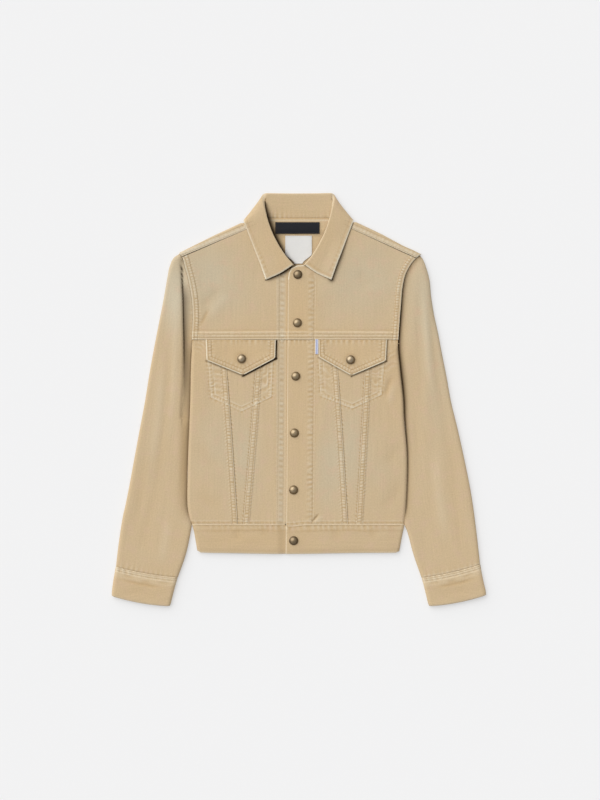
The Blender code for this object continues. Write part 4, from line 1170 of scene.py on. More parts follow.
def yoke_columns(side, x, length):
    """Distances along a section, close together at the placket and on the armhole's band."""
    if side == "right":
        placket = min(max(UNDERLAP_FOLD - x, x - UNDERLAP_FOLD, 14.0), 47.0)
        near = np.r_[np.linspace(0, placket * 0.45, 9), placket * np.linspace(0.45, 1.25, 24)[1:]]
    else:
        placket = min(max(PLACKET_STITCH - x, 14.0), 47.0)
        near = np.r_[0, 0.4, 0.9, 1.5, 2.3, np.linspace(3.2, placket - 9, 14),
                     np.linspace(placket - 9, placket + 9, 16)[1:]]
    field = np.linspace(near[-1], length - BAND_COLUMNS[-1], 48)[1:]
    return np.r_[near, field, length - BAND_COLUMNS[::-1][1:]]


def chest_yoke(side):
    """The yoke's grid, and the line of its armhole."""
    points, rises = [], []
    for x, y, armhole_y, rise in yoke_sections(side):
        end_x = float(BODY[side](armhole_y))
        length = math.hypot(end_x - x, armhole_y - y)
        share = yoke_columns(side, x, length) / length
        px, py = mix(x, end_x, share), mix(y, armhole_y, share)
        points.append(np.stack([px, py, front_height(side, px)], axis=1))
        rises.append(np.full(len(share), rise))
    cloth = Cloth(points)
    if not np.allclose(cloth.points[0, 0], points[0][0]):
        rises = np.array(rises)[:, ::-1]
    armhole = seam_line(BODY[side], 0, 96, 242, 40)
    at_armhole = BAND_RISE * smooth((BAND_WIDTH + 1 - np.abs(cloth.off(armhole))) / 1.5)
    cloth.rise += np.maximum(rises, at_armhole)
    return cloth, armhole


print("a chest yoke has", len(yoke_sections("left")), "sections")

# %% [markdown]
# Both bands have two rows of stitches. Those over the chest wander a little, as a hand guides them, and thin
# pale lines lie beside them, where the layers below rub through.

# %% Sew the chest yokes
ARMHOLE_ROWS = (3.9, 9.2)
CHEST_ROWS = (3.8, 9.6)
CHEST_LINES = ((1.9, 0.32), (6.8, 0.36), (12.4, 0.30))      # height over the chest seam, how worn


def chest_row(side, end_y, height, slant, seed):
    """A row of stitches above the chest seam, from the front edge to the armhole."""
    x = np.linspace(YOKE_ROWS[side][0][0], float(BODY[side](end_y)), 40)
    return line(*zip(x, CHEST_SEAM + height + np.linspace(0, slant, 40) + 0.35 * uneven(x, 22.0, seed)))


def sew_chest(yoke, side, seed):
    """The band over the chest seam."""
    seam = line((YOKE_ROWS[side][0][0], CHEST_SEAM), (BODY[side](99), CHEST_SEAM))
    top = chest_row(side, 108.5, CHEST_ROWS[1], -2.0, seed + 21)
    low = chest_row(side, 101, CHEST_ROWS[0], -0.3, seed + 22)
    for row in (low, top):
        sew(yoke, row, "front")
    sign = SIGN[side]
    ladder(yoke, low, CHEST_ROWS[1] - CHEST_ROWS[0], 8.0, 0.14, seed, side=sign, tone=0.35, notch_width=0.24)
    pucker(yoke, top, 4.0, 9.0, 0.14, seed + 2, side=sign, tone=0.35)
    pale_edge(yoke, seam, 0.42, 1.2, 0.25)
    wander = 0.45 * uneven(yoke.x, 24.0, seed + 23)
    for height, tone in CHEST_LINES:
        off = beside(inset(seam, sign * height), yoke.x, yoke.y - wander)[1]
        yoke.worn += tone * hump(off, 1.0) * varied(0.25, yoke.x, 14.0, seed + 3)
    # painted shade above the band and along its lower row
    above = yoke.off(inset(seam, sign * 15.6))
    yoke.deep += 0.34 * hump(above, 1.9) * varied(0.4, yoke.x, 26.0, seed + 8)
    yoke.painted_shade += 0.10 * hump(yoke.y - CHEST_SEAM - CHEST_ROWS[0], 0.8)


def sew_armhole(yoke, armhole, sign, seed):
    """The band over the sleeve."""
    near, far = ARMHOLE_ROWS
    for offset in (near, far):
        sew(yoke, inset(armhole, sign * offset), "front", tone=1.4)
    ladder(yoke, inset(armhole, sign * near), far - near, 4.6, 0.24, seed + 4, side=sign, tone=1.25,
           notch_width=0.2)
    pucker(yoke, inset(armhole, sign * (far + 0.5)), 3.4, 5.4, 0.16, seed + 6, side=sign, tone=0.5)
    pale_edge(yoke, armhole, 0.45, 1.1, 0.3)


for side, seed, placket_top, depth in (("right", 280, 212, 0.42), ("left", 310, 202, 0.60)):
    yoke, armhole = chest_yoke(side)
    sew_chest(yoke, side, seed)
    sew_armhole(yoke, armhole, SIGN[side], seed)
    sew_placket(yoke, side, CHEST_SEAM, placket_top, seed + 12)
    if side == "left":
        neckline = [row[:2] for row in YOKE_ROWS[side][5:11]]
        pale_edge(yoke, neckline, 0.9, 1.2, 0.4)
        sew(yoke, inset(neckline, -4.6), None, 0.2)
    loose = smooth((np.abs(yoke.x) - 30) / 12) * smooth((yoke.y - 112) / 12)
    drape(yoke, 52, 48, depth, seed + 9, loose * smooth((np.abs(yoke.off(armhole)) - 10) / 12))
    # painted shadow of the collar
    under_collar(yoke)
    lay("cloth_yoke_" + side, "front_yoke_" + side, yoke, PLY)

# %% [markdown]
# ## The back
#
# The back lies flat on the table, so it is plain and level. Its two long seams from the yoke to the waist
# are stitched as on the front, and pressed in from below, where nobody sees them unless the jacket turns.

# %% Lower back
def lower_back():
    y = np.linspace(WAIST_SEAM + SEAM_GAP / 2, BACK_YOKE_SEAM - SEAM_GAP / 2, 70)[:, None]
    x = mix(BODY["right"](y), BODY["left"](y), np.linspace(0, 1, 60))
    return grid(x, y, 0.0, faces_down=True)


back_panel = lower_back()
for low_x, high_x in ((-62, -96), (-55, -89), (62, 96), (69, 103)):
    sew(back_panel, line((low_x, WAIST_SEAM), (high_x, BACK_YOKE_SEAM)), None, 0.2)
lay("cloth_back", "back", back_panel, PLY)

# %% [markdown]
# ## The back yoke and the shoulders
#
# The back yoke covers the shoulder blades, then folds forward over both shoulders to a seam on the front. It
# is made in three grids: the flat part, whose inside shows in the neck opening, and a strip over each
# shoulder. The neck part is raised a little, because the collar's fall lies under it.

# %% Back yoke
TOP_LINE = ((-198, 242), (-172.8, 254.6), (-140.4, 270.8), (-96, 291.2), (-88, 291.6), (-80, 293),
            (-74, 295.5), (-60, 299.3), (0, 299.3), (60, 299.3), (74, 295.5), (80, 293), (86, 292),
            (94, 292.9), (112, 284.8), (137.3, 272.6), (171.9, 254.0), (190.0, 246.0), (201, 240.2))
SHOULDER_SEAM = {"right": ((-193.5, 235.9), (-70, 288.0)), "left": ((193.4, 233.9), (70, 289.5))}
NECK_HALF = 74.0
NECK_RAISE, RAMP_START, RAMP_LENGTH, RAMP_HALF_WIDTH = 2.4, 268.0, 14.0, 112.0
YOKE_X = np.unique(np.r_[np.linspace(-198, -74, 63), np.linspace(-74, 74, 96), np.linspace(74, 201, 64)])


def top_line(x):
    """Points of the top line at some x."""
    return np.stack([x, np.interp(x, *zip(*TOP_LINE))], axis=1)


def under_height(x, y):
    """Underside of the back yoke."""
    return NECK_RAISE * smooth((y - RAMP_START) / RAMP_LENGTH) * smooth((RAMP_HALF_WIDTH - np.abs(x)) / 14)


def shoulder_way(side, x):
    """For columns over a shoulder: the way from the top line to the seam, the fold's reach, the length."""
    outer_end = TOP_LINE[0][0] if side == "right" else TOP_LINE[-1][0]
    share = ((x - outer_end) / (SIGN[side] * NECK_HALF - outer_end))[:, None]
    start, end = np.array(SHOULDER_SEAM[side])
    from_top = mix(start, end, share) - top_line(x)
    length = np.linalg.norm(from_top, axis=1)
    return from_top / length[:, None], np.minimum(ROLL_WIDTH - 1, 0.45 * length), length


def yoke_top(x):
    """Top of the flat part: the top line, or a little down the shoulder, where the fold begins."""
    top = top_line(x)
    for side, sign in SIGN.items():
        way, reach, _ = shoulder_way(side, x)
        top = np.where((sign * x >= NECK_HALF)[:, None], top + way * reach[:, None], top)
    return top


def flat_yoke():
    """The flat part, fanned out from the yoke seam to the top line between both sides of the body."""
    top = yoke_top(YOKE_X)
    (_, right_y), (_, left_y) = top[0], top[-1]
    low_y = BACK_YOKE_SEAM + SEAM_GAP / 2
    level = np.r_[np.linspace(0, 0.56, 20)[:-1], np.linspace(0.56, 1, 48)][:, None]
    share = (YOKE_X - YOKE_X[0]) / (YOKE_X[-1] - YOKE_X[0])
    y = mix(low_y, top[:, 1], level)
    tops = mix(BODY["right"](right_y), BODY["left"](left_y), share)
    x = mix(BODY["right"](mix(low_y, right_y, level)), BODY["left"](mix(low_y, left_y, level)), share)
    x += level * (top[:, 0] - tops)
    x[:, 0], x[:, -1] = BODY["right"](y[:, 0]), BODY["left"](y[:, -1])
    return grid(x, y, under_height(x, y), faces_down=True)


back_yoke = flat_yoke()
# painted shade along the right wing's fold
beside_right_wing(back_yoke, 0.98)
back_yoke.worn += 0.45 * hump(back_yoke.y - 296.2, 0.8) * (np.abs(back_yoke.x) < 62)
# painted shade along the neck seam
back_yoke.deep += 0.7 * hump(back_yoke.y - 299.4, 0.9) * (np.abs(back_yoke.x) < 66)
lay("cloth_back_yoke", "back_yoke", back_yoke, PLY)

# %% [markdown]
# A strip over a shoulder rolls up from the back in a half circle and then lies on the front. Its seam with
# the chest yoke is stitched twice, and the roll at the armhole is rubbed pale.

# %% Shoulder strips
SHOULDER_ROWS = (1.7, 8.2)


def shoulder_strip(side):
    x = YOKE_X[SIGN[side] * YOKE_X >= NECK_HALF]
    way, reach, length = shoulder_way(side, x)
    top = top_line(x)
    start = under_height(*yoke_top(x).T)
    rows = []
    for turn in np.radians(np.linspace(-90, 90, 15)):
        at = top + way * (reach * (1 - math.cos(turn)))[:, None]
        rows.append(np.column_stack([at, mix(start, SHOULDER_TOP, (math.sin(turn) + 1) / 2)]))
    for step in np.linspace(0, 1, 14)[1:]:
        run = mix(reach, length - SEAM_GAP, step)
        rows.append(np.column_stack([top + way * run[:, None], np.full(len(x), SHOULDER_TOP)]))
    rows = np.array(rows)
    outer = 0 if side == "right" else -1
    rows[:, outer, 0] = BODY[side](rows[:, outer, 1])
    return Cloth(rows)


for side, seed, worn in (("right", 340, 0.40), ("left", 370, 0.24)):
    strip = shoulder_strip(side)
    sign = SIGN[side]
    seam = line(*SHOULDER_SEAM[side])
    for offset, tone in zip(SHOULDER_ROWS, (0.4, 0.8)):
        sew(strip, inset(seam, -sign * offset), "front", tone=tone)
    ladder(strip, inset(seam, -sign * SHOULDER_ROWS[0]), 6.5, 6.8, 0.20, seed, side=-sign, tone=0.7)
    pale_edge(strip, seam, 0.45, 1.1, 0.12)
    strip.worn += worn * hump(strip.off(inset(seam, -sign * 3.2)), 2.8)
    pale_edge(strip, seam_line(BODY[side], 0, 226, 244, 2), 0.8, 1.2, 0.3)
    # painted shadow of the collar
    under_collar(strip)
    lay("cloth_shoulder_" + side, "back_yoke", strip, PLY)

# %% [markdown]
# ## The waistband
#
# One doubled band runs from the right front, round the back, to the left front, whose end lies on top. Its
# top edge is stitched over the body, and the body is a little fuller, so the band puckers along the row.

# %% Waistband
BAND_END = (-18.0, -19.0, -19.5, -19.9)     # close columns at the left end, which lies on top


def hem_at(x):
    corner = np.maximum(np.abs(x) - 158.0, 0.0)
    return HEM - 2.0 * hump(x + 20, 90) + 0.035 * corner ** 2


def band_path():
    """(x, height, fold, behind) round the band; on a fold, x is the share of its reach."""
    under, over = UNDERLAP_TOP + 0.5, WAISTBAND_TOP
    slope = np.linspace(UNDERLAP_FOLD + 15, UNDERLAP_FOLD, 12)
    right = np.r_[np.linspace(UNDERLAP_END, slope[0], 14)[:-1], slope, np.linspace(-39, -150, 76)]
    heights = mix(over, under, smooth((right - UNDERLAP_FOLD) / 15))
    turns = np.radians(np.linspace(90, -90, 13))
    fold = [(1 - math.cos(t), over / 2 * (1 + math.sin(t))) for t in turns]
    return ([(x, z, None, False) for x, z in zip(right, heights)]
            + [(reach, z, "right", False) for reach, z in fold]
            + [(x, 0.0, None, True) for x in np.linspace(-150, 150, 40)]
            + [(reach, z, "left", False) for reach, z in fold[::-1]]
            + [(x, over, None, False) for x in (*np.linspace(150, -16, 112), *BAND_END)])


def waistband():
    stops = band_path()
    levels = np.r_[0, 0.012, 0.026, np.linspace(0.05, 0.96, 30), 0.98, 1.0]
    rows = []
    for level in levels:
        y = float(mix(WAIST_SEAM, HEM, level))
        row = []
        for n, (x, z, fold, behind) in enumerate(stops):
            if fold:
                x = float(BODY[fold](y)) - SIGN[fold] * ROLL_WIDTH * x
            elif n >= len(stops) - len(BAND_END):
                x = float(EDGE["left"](y)) + x - BAND_END[-1]
            else:
                edge = BODY["right" if x < 0 else "left"]
                x *= mix(1.0, float(edge(y) / edge(WAIST_SEAM)), float(smooth((abs(x) - 20) / 90)))
            top = WAIST_SEAM if behind or x < -22 else float(waist_at("left", x))
            row.append((x, mix(top - SEAM_GAP - 0.05, float(hem_at(x)), level), z))
        rows.append(row)
    return Cloth(rows)


def waist_row(low_x, high_x, below, count):
    """A line along the waist seam, some mm below it."""
    return [(x, float(waist_at("left" if x > -22 else "right", x)) - below)
            for x in np.linspace(low_x, high_x, count)]


band = waistband()
band.front *= band.z > 2.0
for low_x, high_x in ((-170, -22), (-20, 168)):
    row = waist_row(low_x, high_x, 2.1, 24)
    sew(band, row, "front", tone=1.7)
    pucker(band, row, 6.5, 9.5, 0.26, 400 + high_x, side=-1, slant=0.15, tone=0.55)
    run, off = band.beside(row)
    step = -off - 8.2 - 0.9 * uneven(run, 12.0, 405)
    band.rise += 0.22 * smooth(1 - step / 3.0) * band.front
    # a line of painted shade where the raised strip ends
    band.deep += 0.42 * hump(step, 1.7) * band.front * varied(0.3, run, 17.0, 406)
pale_edge(band, waist_row(-176, 172, 0.3, 60), 0.30, 1.2, 0.2)
pale_edge(band, seam_line(EDGE["left"], 0, WAIST_SEAM, HEM - 4), 0.34, 1.1, 0.35)
hem_gap = band.y - hem_at(band.x)
band.rise -= 1.1 * hump(hem_gap, 5.0) * band.front
band.worn += 0.35 * hump(hem_gap, 1.4) * band.front
# the whole band a little darker and richer in colour
band.deep += 0.07 * band.front
drape(band, 50, 30, 0.30, 411, smooth((WAIST_SEAM - 10 - band.y) / 14))
lay("cloth_waistband", "waistband", band, DOUBLE_PLY,
    bulge=0.5, grain=(band.y, band.x))

# %% [markdown]
# ## Sleeves
#
# A sleeve on a table is a flattened tube: a front, a back and two soft folds. It is measured ring by ring,
# from the armhole, where the ring follows the armhole's curve, to the cuff. The right one has been pushed
# against the body, so a deep fold lies beside it.

# %% Sleeve tables
ARMHOLE_END = {"right": (240.8, 97.5), "left": (238.2, 88.5)}
SLEEVE_OUTER = {
    "right": curve((
        (-275.8, -302.2), (-198.8, -292.0), (-170, -285.5), (-68.8, -266.6), (-0.8, -253.8),
        (49.7, -245.7), (93.6, -237.6), (139.9, -228.4), (177, -221.4), (209.4, -215.7), (223.2, -212.2),
        (235, -206.0), (242, -198.6))),
    "left": curve((
        (-272.0, 299.2), (-198.8, 290.7), (-152.1, 283.8), (-43.6, 261.0), (-0.8, 250.6), (38.1, 243.7),
        (84.3, 234.5), (121.4, 227.5), (158.4, 219.5), (195.5, 216.0), (220.9, 209.1), (233, 204.0),
        (239.4, 201.4))),
}
SLEEVE_INNER = {
    "right": curve((
        (-293.3, -199.8), (-216.6, -178.4), (-195, -184.6), (-119, -187.2), (-44, -184.6), (-1, -182.6),
        (61, -181.2), (80, -179.6), (97.5, -176.2))),
    "left": curve((
        (-294.0, 202.3), (-212, 177.6), (-182, 178.8), (-133, 181.0), (-93, 181.0), (-30, 176.1),
        (-0.8, 174.7), (49.7, 169.4), (75, 166.8), (88.5, 164.3))),
}
SLEEVE_RINGS = {   # height of the outer end, height of the inner end, share of the armhole's curve
    "right": (
        (234, 94, 0.93), (220, 88, 0.78), (200, 78, 0.55), (174, 66, 0.35), (144, 50, 0.2), (112, 30, 0.1),
        (76, 6, 0.03), (38, -24, 0), (-4, -58, 0), (-50, -96, 0), (-98, -138, 0), (-148, -182, 0),
        (-177, -206, 0), (-190, -217, 0), (-236, -256, 0), (-275.8, -293.3, 0)),
    "left": (
        (232, 86, 0.93), (218, 80, 0.78), (198, 71, 0.55), (172, 60, 0.35), (142, 44, 0.2), (110, 25, 0.1),
        (75, 2, 0.03), (38, -26, 0), (-3, -59, 0), (-48, -97, 0), (-97, -138, 0), (-147, -181, 0),
        (-178, -206, 0), (-190, -216, 0), (-234, -256, 0), (-272, -294, 0)),
}
VALLEY = ((-193.8, 229), (-192.4, 197), (-191.2, 164), (-190.6, 131), (-189.8, 98), (-189.6, 65),
          (-190.2, 32), (-191.5, 0), (-193, -30))
VALLEY_STEEP, VALLEY_WIDTH, VALLEY_DEPTH = 2.6, 9.0, 2.4
CUFF_SEAM_SAG, CUFF_SAG_START = 2.2, -100.0
SLEEVE_TUCK = 0.1              # how far the sleeve goes under the body's side fold
CUFF_ROWS = {       # x, y of the outer end; x, y of the inner end; sag between them
    "right": ((-302.6, -276.4, -200.3, -294.0, 2.4), (-305.0, -290.0, -204.5, -309.0, 2.6),
              (-307.4, -305.0, -208.6, -324.5, 2.8), (-308.9, -318.0, -211.9, -337.5, 3.0),
              (-309.0, -323.6, -213.2, -340.4, 3.2)),
    "left": ((299.6, -272.6, 202.8, -294.7, 2.4), (302.2, -288.0, 206.6, -309.0, 2.6),
             (305.6, -304.0, 210.4, -324.5, 2.8), (308.5, -316.6, 213.6, -337.5, 3.0),
             (309.0, -322.0, 215.0, -340.4, 3.2)),
}
print("the right sleeve is measured at", len(SLEEVE_RINGS["right"]) + 1, "rings")

# %% [markdown]
# A ring goes round the outer fold, over the front, round the inner fold and back below. Each fold has the
# same reach however wide the sleeve is, so its columns are set in mm and not as shares of the width.

# %% Rings of a flattened tube
FOLD_TURNS = np.radians(np.linspace(-90, 90, 11))


def ring_columns(width, stations, back_stations):
    """Share across and share of the height, for each point of a ring."""
    reach = ROLL_WIDTH * (1 - np.cos(FOLD_TURNS)) / width
    rise = (1 + np.sin(FOLD_TURNS)) / 2
    front = mix(reach[-1], 1 - reach[-1], np.linspace(0, 1, stations + 2)[1:-1])
    back = mix(1 - reach[-1], reach[-1], np.linspace(0, 1, back_stations + 2)[1:-1])
    shares = np.r_[reach, front, 1 - reach[::-1], back]
    heights = np.r_[rise, np.ones(stations), rise[::-1], np.zeros(back_stations)]
    return shares, heights


def sleeve_top(side, x, y):
    """Outer surface of the sleeve's front: low beside the body, with a valley on the right."""
    low = (SLEEVE_TOP - SLEEVE_AT_ARMHOLE) * hump(x - BODY[side](y), 13.0) * smooth((y + 60) / 120)
    if side == "right":
        off = beside(VALLEY, x, y)[1]
        width = np.where(off < 0, VALLEY_STEEP, VALLEY_WIDTH)
        low = low * (1 - 0.8 * smooth((y - 120) / 60)) + VALLEY_DEPTH * hump(off, width)
    return np.maximum(SLEEVE_TOP - low, SLEEVE_LOWEST)


def sleeve_inside(side, y):
    """Inner edge of the sleeve; it lies against the body's side fold as far as the waist."""
    touching = smooth((y + 214) / 8) * smooth((100 - y) / 8)
    return mix(SLEEVE_INNER[side](y), BODY[side](y) - SIGN[side] * SLEEVE_TUCK, touching)


def armhole_ring(side, shares):
    y = mix(*ARMHOLE_END[side], shares)
    return BODY[side](y) + SIGN[side] * ARMHOLE_GAP, y - ARMHOLE_GAP


def sleeve_ring(side, ring, shares):
    """A straight ring that keeps a share of the armhole's curve, and sags a little near the cuff."""
    outer_y, inner_y, kept = ring
    top, under = ARMHOLE_END[side]
    curved = BODY[side](mix(top, under, shares)) - mix(BODY[side](top), BODY[side](under), shares)
    sag = CUFF_SEAM_SAG * smooth((CUFF_SAG_START - outer_y) / 176) * bow(shares)
    x = mix(SLEEVE_OUTER[side](outer_y), sleeve_inside(side, inner_y), shares) + kept * curved
    return x, mix(outer_y, inner_y, shares) - sag


def tube(rings, rows, stations, back_stations, top):
    """Cloth through rings given as functions of the share across, with the outer height from top(x, y)."""
    plans, keys = [], [0.0]
    for ring in rings:
        ends = np.stack(ring(np.array([0.0, 1.0])), axis=1)
        shares, heights = ring_columns(math.dist(*ends), stations, back_stations)
        plans.append(np.stack(ring(shares), axis=1))
        if len(plans) > 1:
            keys.append(keys[-1] + float(np.linalg.norm(plans[-1] - plans[-2], axis=1).mean()))
    plan = flow(keys, plans, np.linspace(0, keys[-1], rows))
    x, y = plan[..., 0], plan[..., 1]
    return grid(x, y, top(x, y) * heights, ring=True)


def leaning_grain(cloth, degrees):
    """Coordinates along and across a sleeve that lies at a slant, to the side and up."""
    lean = math.radians(degrees)
    return (cloth.x * math.cos(lean) + cloth.y * math.sin(lean),
            cloth.y * math.cos(lean) - cloth.x * math.sin(lean))


print("folds of", ROLL_WIDTH, "mm, turned in", len(FOLD_TURNS) - 1, "steps")

# %% [markdown]
# The narrow gap beside the body is in shade, and that shade is painted on. On the right it has a near-black
# core and a wide soft side, down in the valley. On the left it is one soft line along the body's edge.

# %% Sleeves
def sleeve(side):
    rings = [lambda shares: armhole_ring(side, shares)]
    rings += [lambda shares, ring=ring: sleeve_ring(side, ring, shares) for ring in SLEEVE_RINGS[side]]
    return tube(rings, 210, 40, 14, lambda x, y: sleeve_top(side, x, y))


def valley_shade(cloth, away, end):
    """Painted shade beside the body, and a pale sleeve head, on the right sleeve."""
    y = cloth.y
    cloth.worn += 0.20 * hump(cloth.x + 206, 17) * hump(y - 168, 52) * cloth.front
    past = cloth.off(VALLEY)
    core = np.interp(y, (0, 60, 98, 164, 190, 214, 222, 232), (0, 0.34, 0.46, 0.48, 1.05, 1.15, 0.75, 0.08))
    side = np.interp(y, (-27, -2, 20, 40, 98, 168, 182, 196), (0, 0.26, 0.50, 0.58, 0.68, 0.64, 0.40, 0))
    reach = np.interp(y, (0, 98, 164), (13.0, 7.6, 10.2))
    beyond = np.exp(-np.clip(past / reach, 0, 9) ** 1.8)
    beyond *= smooth((past + 1.8) / mix(4.0, 1.6, smooth(y / 90)))
    cloth.painted_shade += (core * hump(past + 0.4, 1.3) + side * beyond) * cloth.front
    low = smooth((28 - y) / 55)
    cloth.painted_shade += (0.04 * hump(away, 2.6) + 0.26 * hump(away, 9.5)) * end * low
    cloth.painted_shade += 0.20 * hump(away, 5.0) * smooth((110 - y) / 30) * (1 - low) * cloth.front
    cloth.deep += 0.35 * hump(away, 13.0) * end * smooth((150 - y) / 60)


def gap_shade(cloth, away, end):
    """Painted shade along the left sleeve's inner edge."""
    reach = np.interp(cloth.y, (-100, -34, 32, 115, 164), (2.1, 3.2, 4.9, 3.9, 4.3))
    painted_shade = np.interp(cloth.y, (-206, -100, -34, 139, 164, 190, 232), (0.7, 0.9, 1.05, 1.1, 0.95, 0.85, 0.3))
    cloth.painted_shade += painted_shade * hump(np.maximum(away - 0.7, 0), reach, 1.3) * end
    cloth.deep += 0.35 * hump(away, 7.0) * end


for side, seed, body_shade in (("right", 430, valley_shade), ("left", 460, gap_shade)):
    cloth = sleeve(side)
    armhole = seam_line(BODY[side], 0, 92, 242, 40)
    pucker(cloth, armhole, 4.5, 6.2, 0.22, seed, side=-SIGN[side], tone=0.6)
    from_body = np.abs(cloth.off(seam_line(BODY[side], 0, -203, 242, 60)))
    body_shade(cloth, from_body, smooth((cloth.y + 212) / 40) * cloth.front)
    drape(cloth, 30, 120, 0.30, seed + 5, smooth((np.abs(cloth.off(armhole)) - 6) / 12))
    outer_x, outer_y, inner_x, inner_y, sag = CUFF_ROWS[side][0]
    cuff_seam = [(mix(outer_x, inner_x, s), mix(outer_y, inner_y, s) - sag * bow(s))
                 for s in np.linspace(0, 1, 14)]
    pucker(cloth, cuff_seam, 7.0, 8.5, 0.30, seed + 8, tone=0.6)
    cloth.worn += 0.22 * hump(cloth.off(cuff_seam) + 2.0, 1.6) * cloth.front
    across, along = leaning_grain(cloth, 7.6 * SIGN[side])
    across += ROLL_ARC * cloth.normals[..., 0] * (cloth.z.max() - cloth.z)
    lay("cloth_sleeve_" + side, "sleeve_" + side, cloth, PLY,
        bulge=0.2, grain=(across, along))

# %% [markdown]
# ## Cuffs
#
# A cuff is a doubled band, so it is flatter and firmer than the sleeve above it. The sleeve is a little
# fuller, and the band's own cloth puckers just below the rows of stitches.

# %% Cuffs
CUFF_LEVELS = np.array([0, 15, 30.5, 43.6, 48.8])     # mm below the cuff's seam, for the rows of CUFF_ROWS
CUFF_CREASES = (    # mm below the seam, start and end as shares across; width, depth, tone
    (18.5, 0.08, 0.85, 2.6, 0.45, 0.45), (34.0, 0.15, 0.90, 7.0, 0.35, 0.05),
    (10.5, 0.12, 0.34, 2.6, 0.35, 0.40), (13.5, 0.42, 0.62, 2.6, 0.35, 0.50),
    (11.0, 0.70, 0.92, 2.6, 0.35, 0.35),
)


def cuff_plan(row):
    outer_x, outer_y, inner_x, inner_y, sag = row
    return lambda shares: (mix(outer_x, inner_x, shares), mix(outer_y, inner_y, shares) - sag * bow(shares))


def cuff_line(side, down, start=0.0, end=1.0):
    """A line across the cuff: a distance down from its seam."""
    row = flow(CUFF_LEVELS, CUFF_ROWS[side], down)
    return line(*zip(*cuff_plan(row)(np.linspace(start, end, 20))))


for side, seed in (("right", 490), ("left", 520)):
    cloth = tube([cuff_plan(row) for row in CUFF_ROWS[side]], 58, 46, 12, lambda x, y: CUFF_TOP)
    for down in (1.7, 5.2):
        sew(cloth, cuff_line(side, down), "cuffs", tone=0.6)
    for down, tone in ((3.4, 0.24), (7.2, 0.20)):
        cloth.worn += tone * hump(cloth.off(cuff_line(side, down)), 0.9) * cloth.front
    below = np.abs(cloth.off(cuff_line(side, 0)))
    cloth.worn += 0.14 * smooth((17.5 - below) / 5) * varied(0.2, cloth.x, 12.0, seed + 7) * cloth.front
    welt(cloth, cuff_line(side, 3.2), seed + 5, 0.22)
    pucker(cloth, cuff_line(side, 7.6), 14.0, 10.5, 0.50, seed, side=-SIGN[side], slant=0.4, tone=0.55)
    pale_edge(cloth, cuff_line(side, 0.2), 0.14, 1.2, 0.2)
    pale_edge(cloth, cuff_line(side, 48.4), 0.15, 1.2, 0.5)
    for down, start, end, *fold in CUFF_CREASES:
        crease(cloth, cuff_line(side, down, start, end), *fold)
    drape(cloth, 34, 20, 0.32, seed + 3)
    along, across = leaning_grain(cloth, -10.5 * SIGN[side])
    lay("cloth_cuff_" + side, "cuff_" + side, cloth, DOUBLE_PLY,
        bulge=0.8, grain=(across, along))

# %% [markdown]
# ## The collar
#
# The collar is one doubled piece. From the neck seam it stands up, folds over, and falls down outside. Its
# sections are set up one by one from the table, with a round roll at the fold, because a single bent sheet
# can't turn the corners at the neck. The lower edges of both wings lift a little off the fronts.

# %% Collar
COLLAR_ROLL, COLLAR_CORNER_ROLL = 2.1, 1.0
STAND, ROLL_STEPS, FALL = 13, 13, 28    # columns up the stand, round the fold and down the fall
ACROSS = [0, 3, 7, 10]                  # the table's columns that hold an x


def collar_section(row, side):
    """Points of one section from the neck seam to the edge; side is -1 or 1."""
    scale, edge_scale = (-1.0, -1.0) if side < 0 else (COLLAR_LEFT_SCALE, COLLAR_LEFT_EDGE)
    row = row.copy()
    row[ACROSS] *= (scale, scale, scale, edge_scale)
    seam, fold, middle, edge = row[0:3], row[3:6], row[7:10], row[10:13]
    turn = math.radians(row[6])
    flat = np.array((1.0, 1.0, 0.0))
    to_seam, to_edge = (seam - fold) * flat, (middle - fold) * flat
    inward = to_seam / np.linalg.norm(to_seam) + to_edge / np.linalg.norm(to_edge)
    inward /= np.linalg.norm(inward)
    across = np.array((side * inward[1], -side * inward[0], 0.0))
    lean = across * math.cos(turn) + np.array((0, 0, math.sin(turn)))
    radius = COLLAR_ROLL + COLLAR_CORNER_ROLL * math.cos(turn)
    centre = fold + inward * radius
    turns = np.radians(np.linspace(90, -90, ROLL_STEPS))
    roll = [centre - inward * radius * math.cos(t) + lean * radius * math.sin(t) for t in turns]
    stand = [mix(seam, roll[0], s) for s in np.linspace(0, 1, STAND + 1)[:-1]]
    down = flow([0.0, 1.0, 2.0], [roll[-1], middle, edge],
                2 * np.r_[np.linspace(0, 0.93, FALL)[1:], 0.955, 0.975, 0.99, 1.0])
    return np.vstack([stand, roll, down])


def collar_grid(per_row):
    """All sections from the wearer's right front to the left front."""
    last = len(COLLAR_ROWS) - 1
    keys = np.arange(-last, last + 1)
    table = np.array([COLLAR_ROWS[abs(k)] for k in keys], float)
    table[:last, ACROSS] *= -1
    at = np.linspace(-last, last, 2 * last * per_row + 1)
    rows = flow(keys, table, at)
    rows[:, ACROSS] = np.abs(rows[:, ACROSS])
    return np.array([collar_section(row, -1 if k < 0 else 1) for k, row in zip(at, rows)])


def lengths_along(points, axis):
    """How far each point of a grid is along its row or column."""
    runs = np.cumsum(np.linalg.norm(np.diff(points, axis=axis), axis=2), axis=axis)
    return np.concatenate([np.zeros_like(np.take(runs, [0], axis)), runs], axis=axis)


sections = collar_grid(9)
fall_run = lengths_along(sections, 1)
from_edge = fall_run[:, -1:] - fall_run
on_left = sections[..., 0] > 0
lift_left = 2.6 * smooth((286 - sections[..., 1]) / 70) * smooth(1 - from_edge / 24) * on_left
lift_right = 0.5 * smooth((262 - sections[..., 1]) / 50) * smooth(1 - from_edge / 14) * ~on_left
wing = np.arange(sections.shape[1]) >= STAND + ROLL_STEPS
sections[..., 2] += (lift_left + lift_right) * wing
print("collar:", sections.shape[0], "sections of", sections.shape[1], "points, up to",
      round(float(sections[..., 2].max()), 1), "mm high")

# %% [markdown]
# The collar's wales run round the neck. Its outer edge is turned and stitched once, about 6 mm in, and the
# rows that end at the fronts are an edge as well. All of it is rubbed pale.

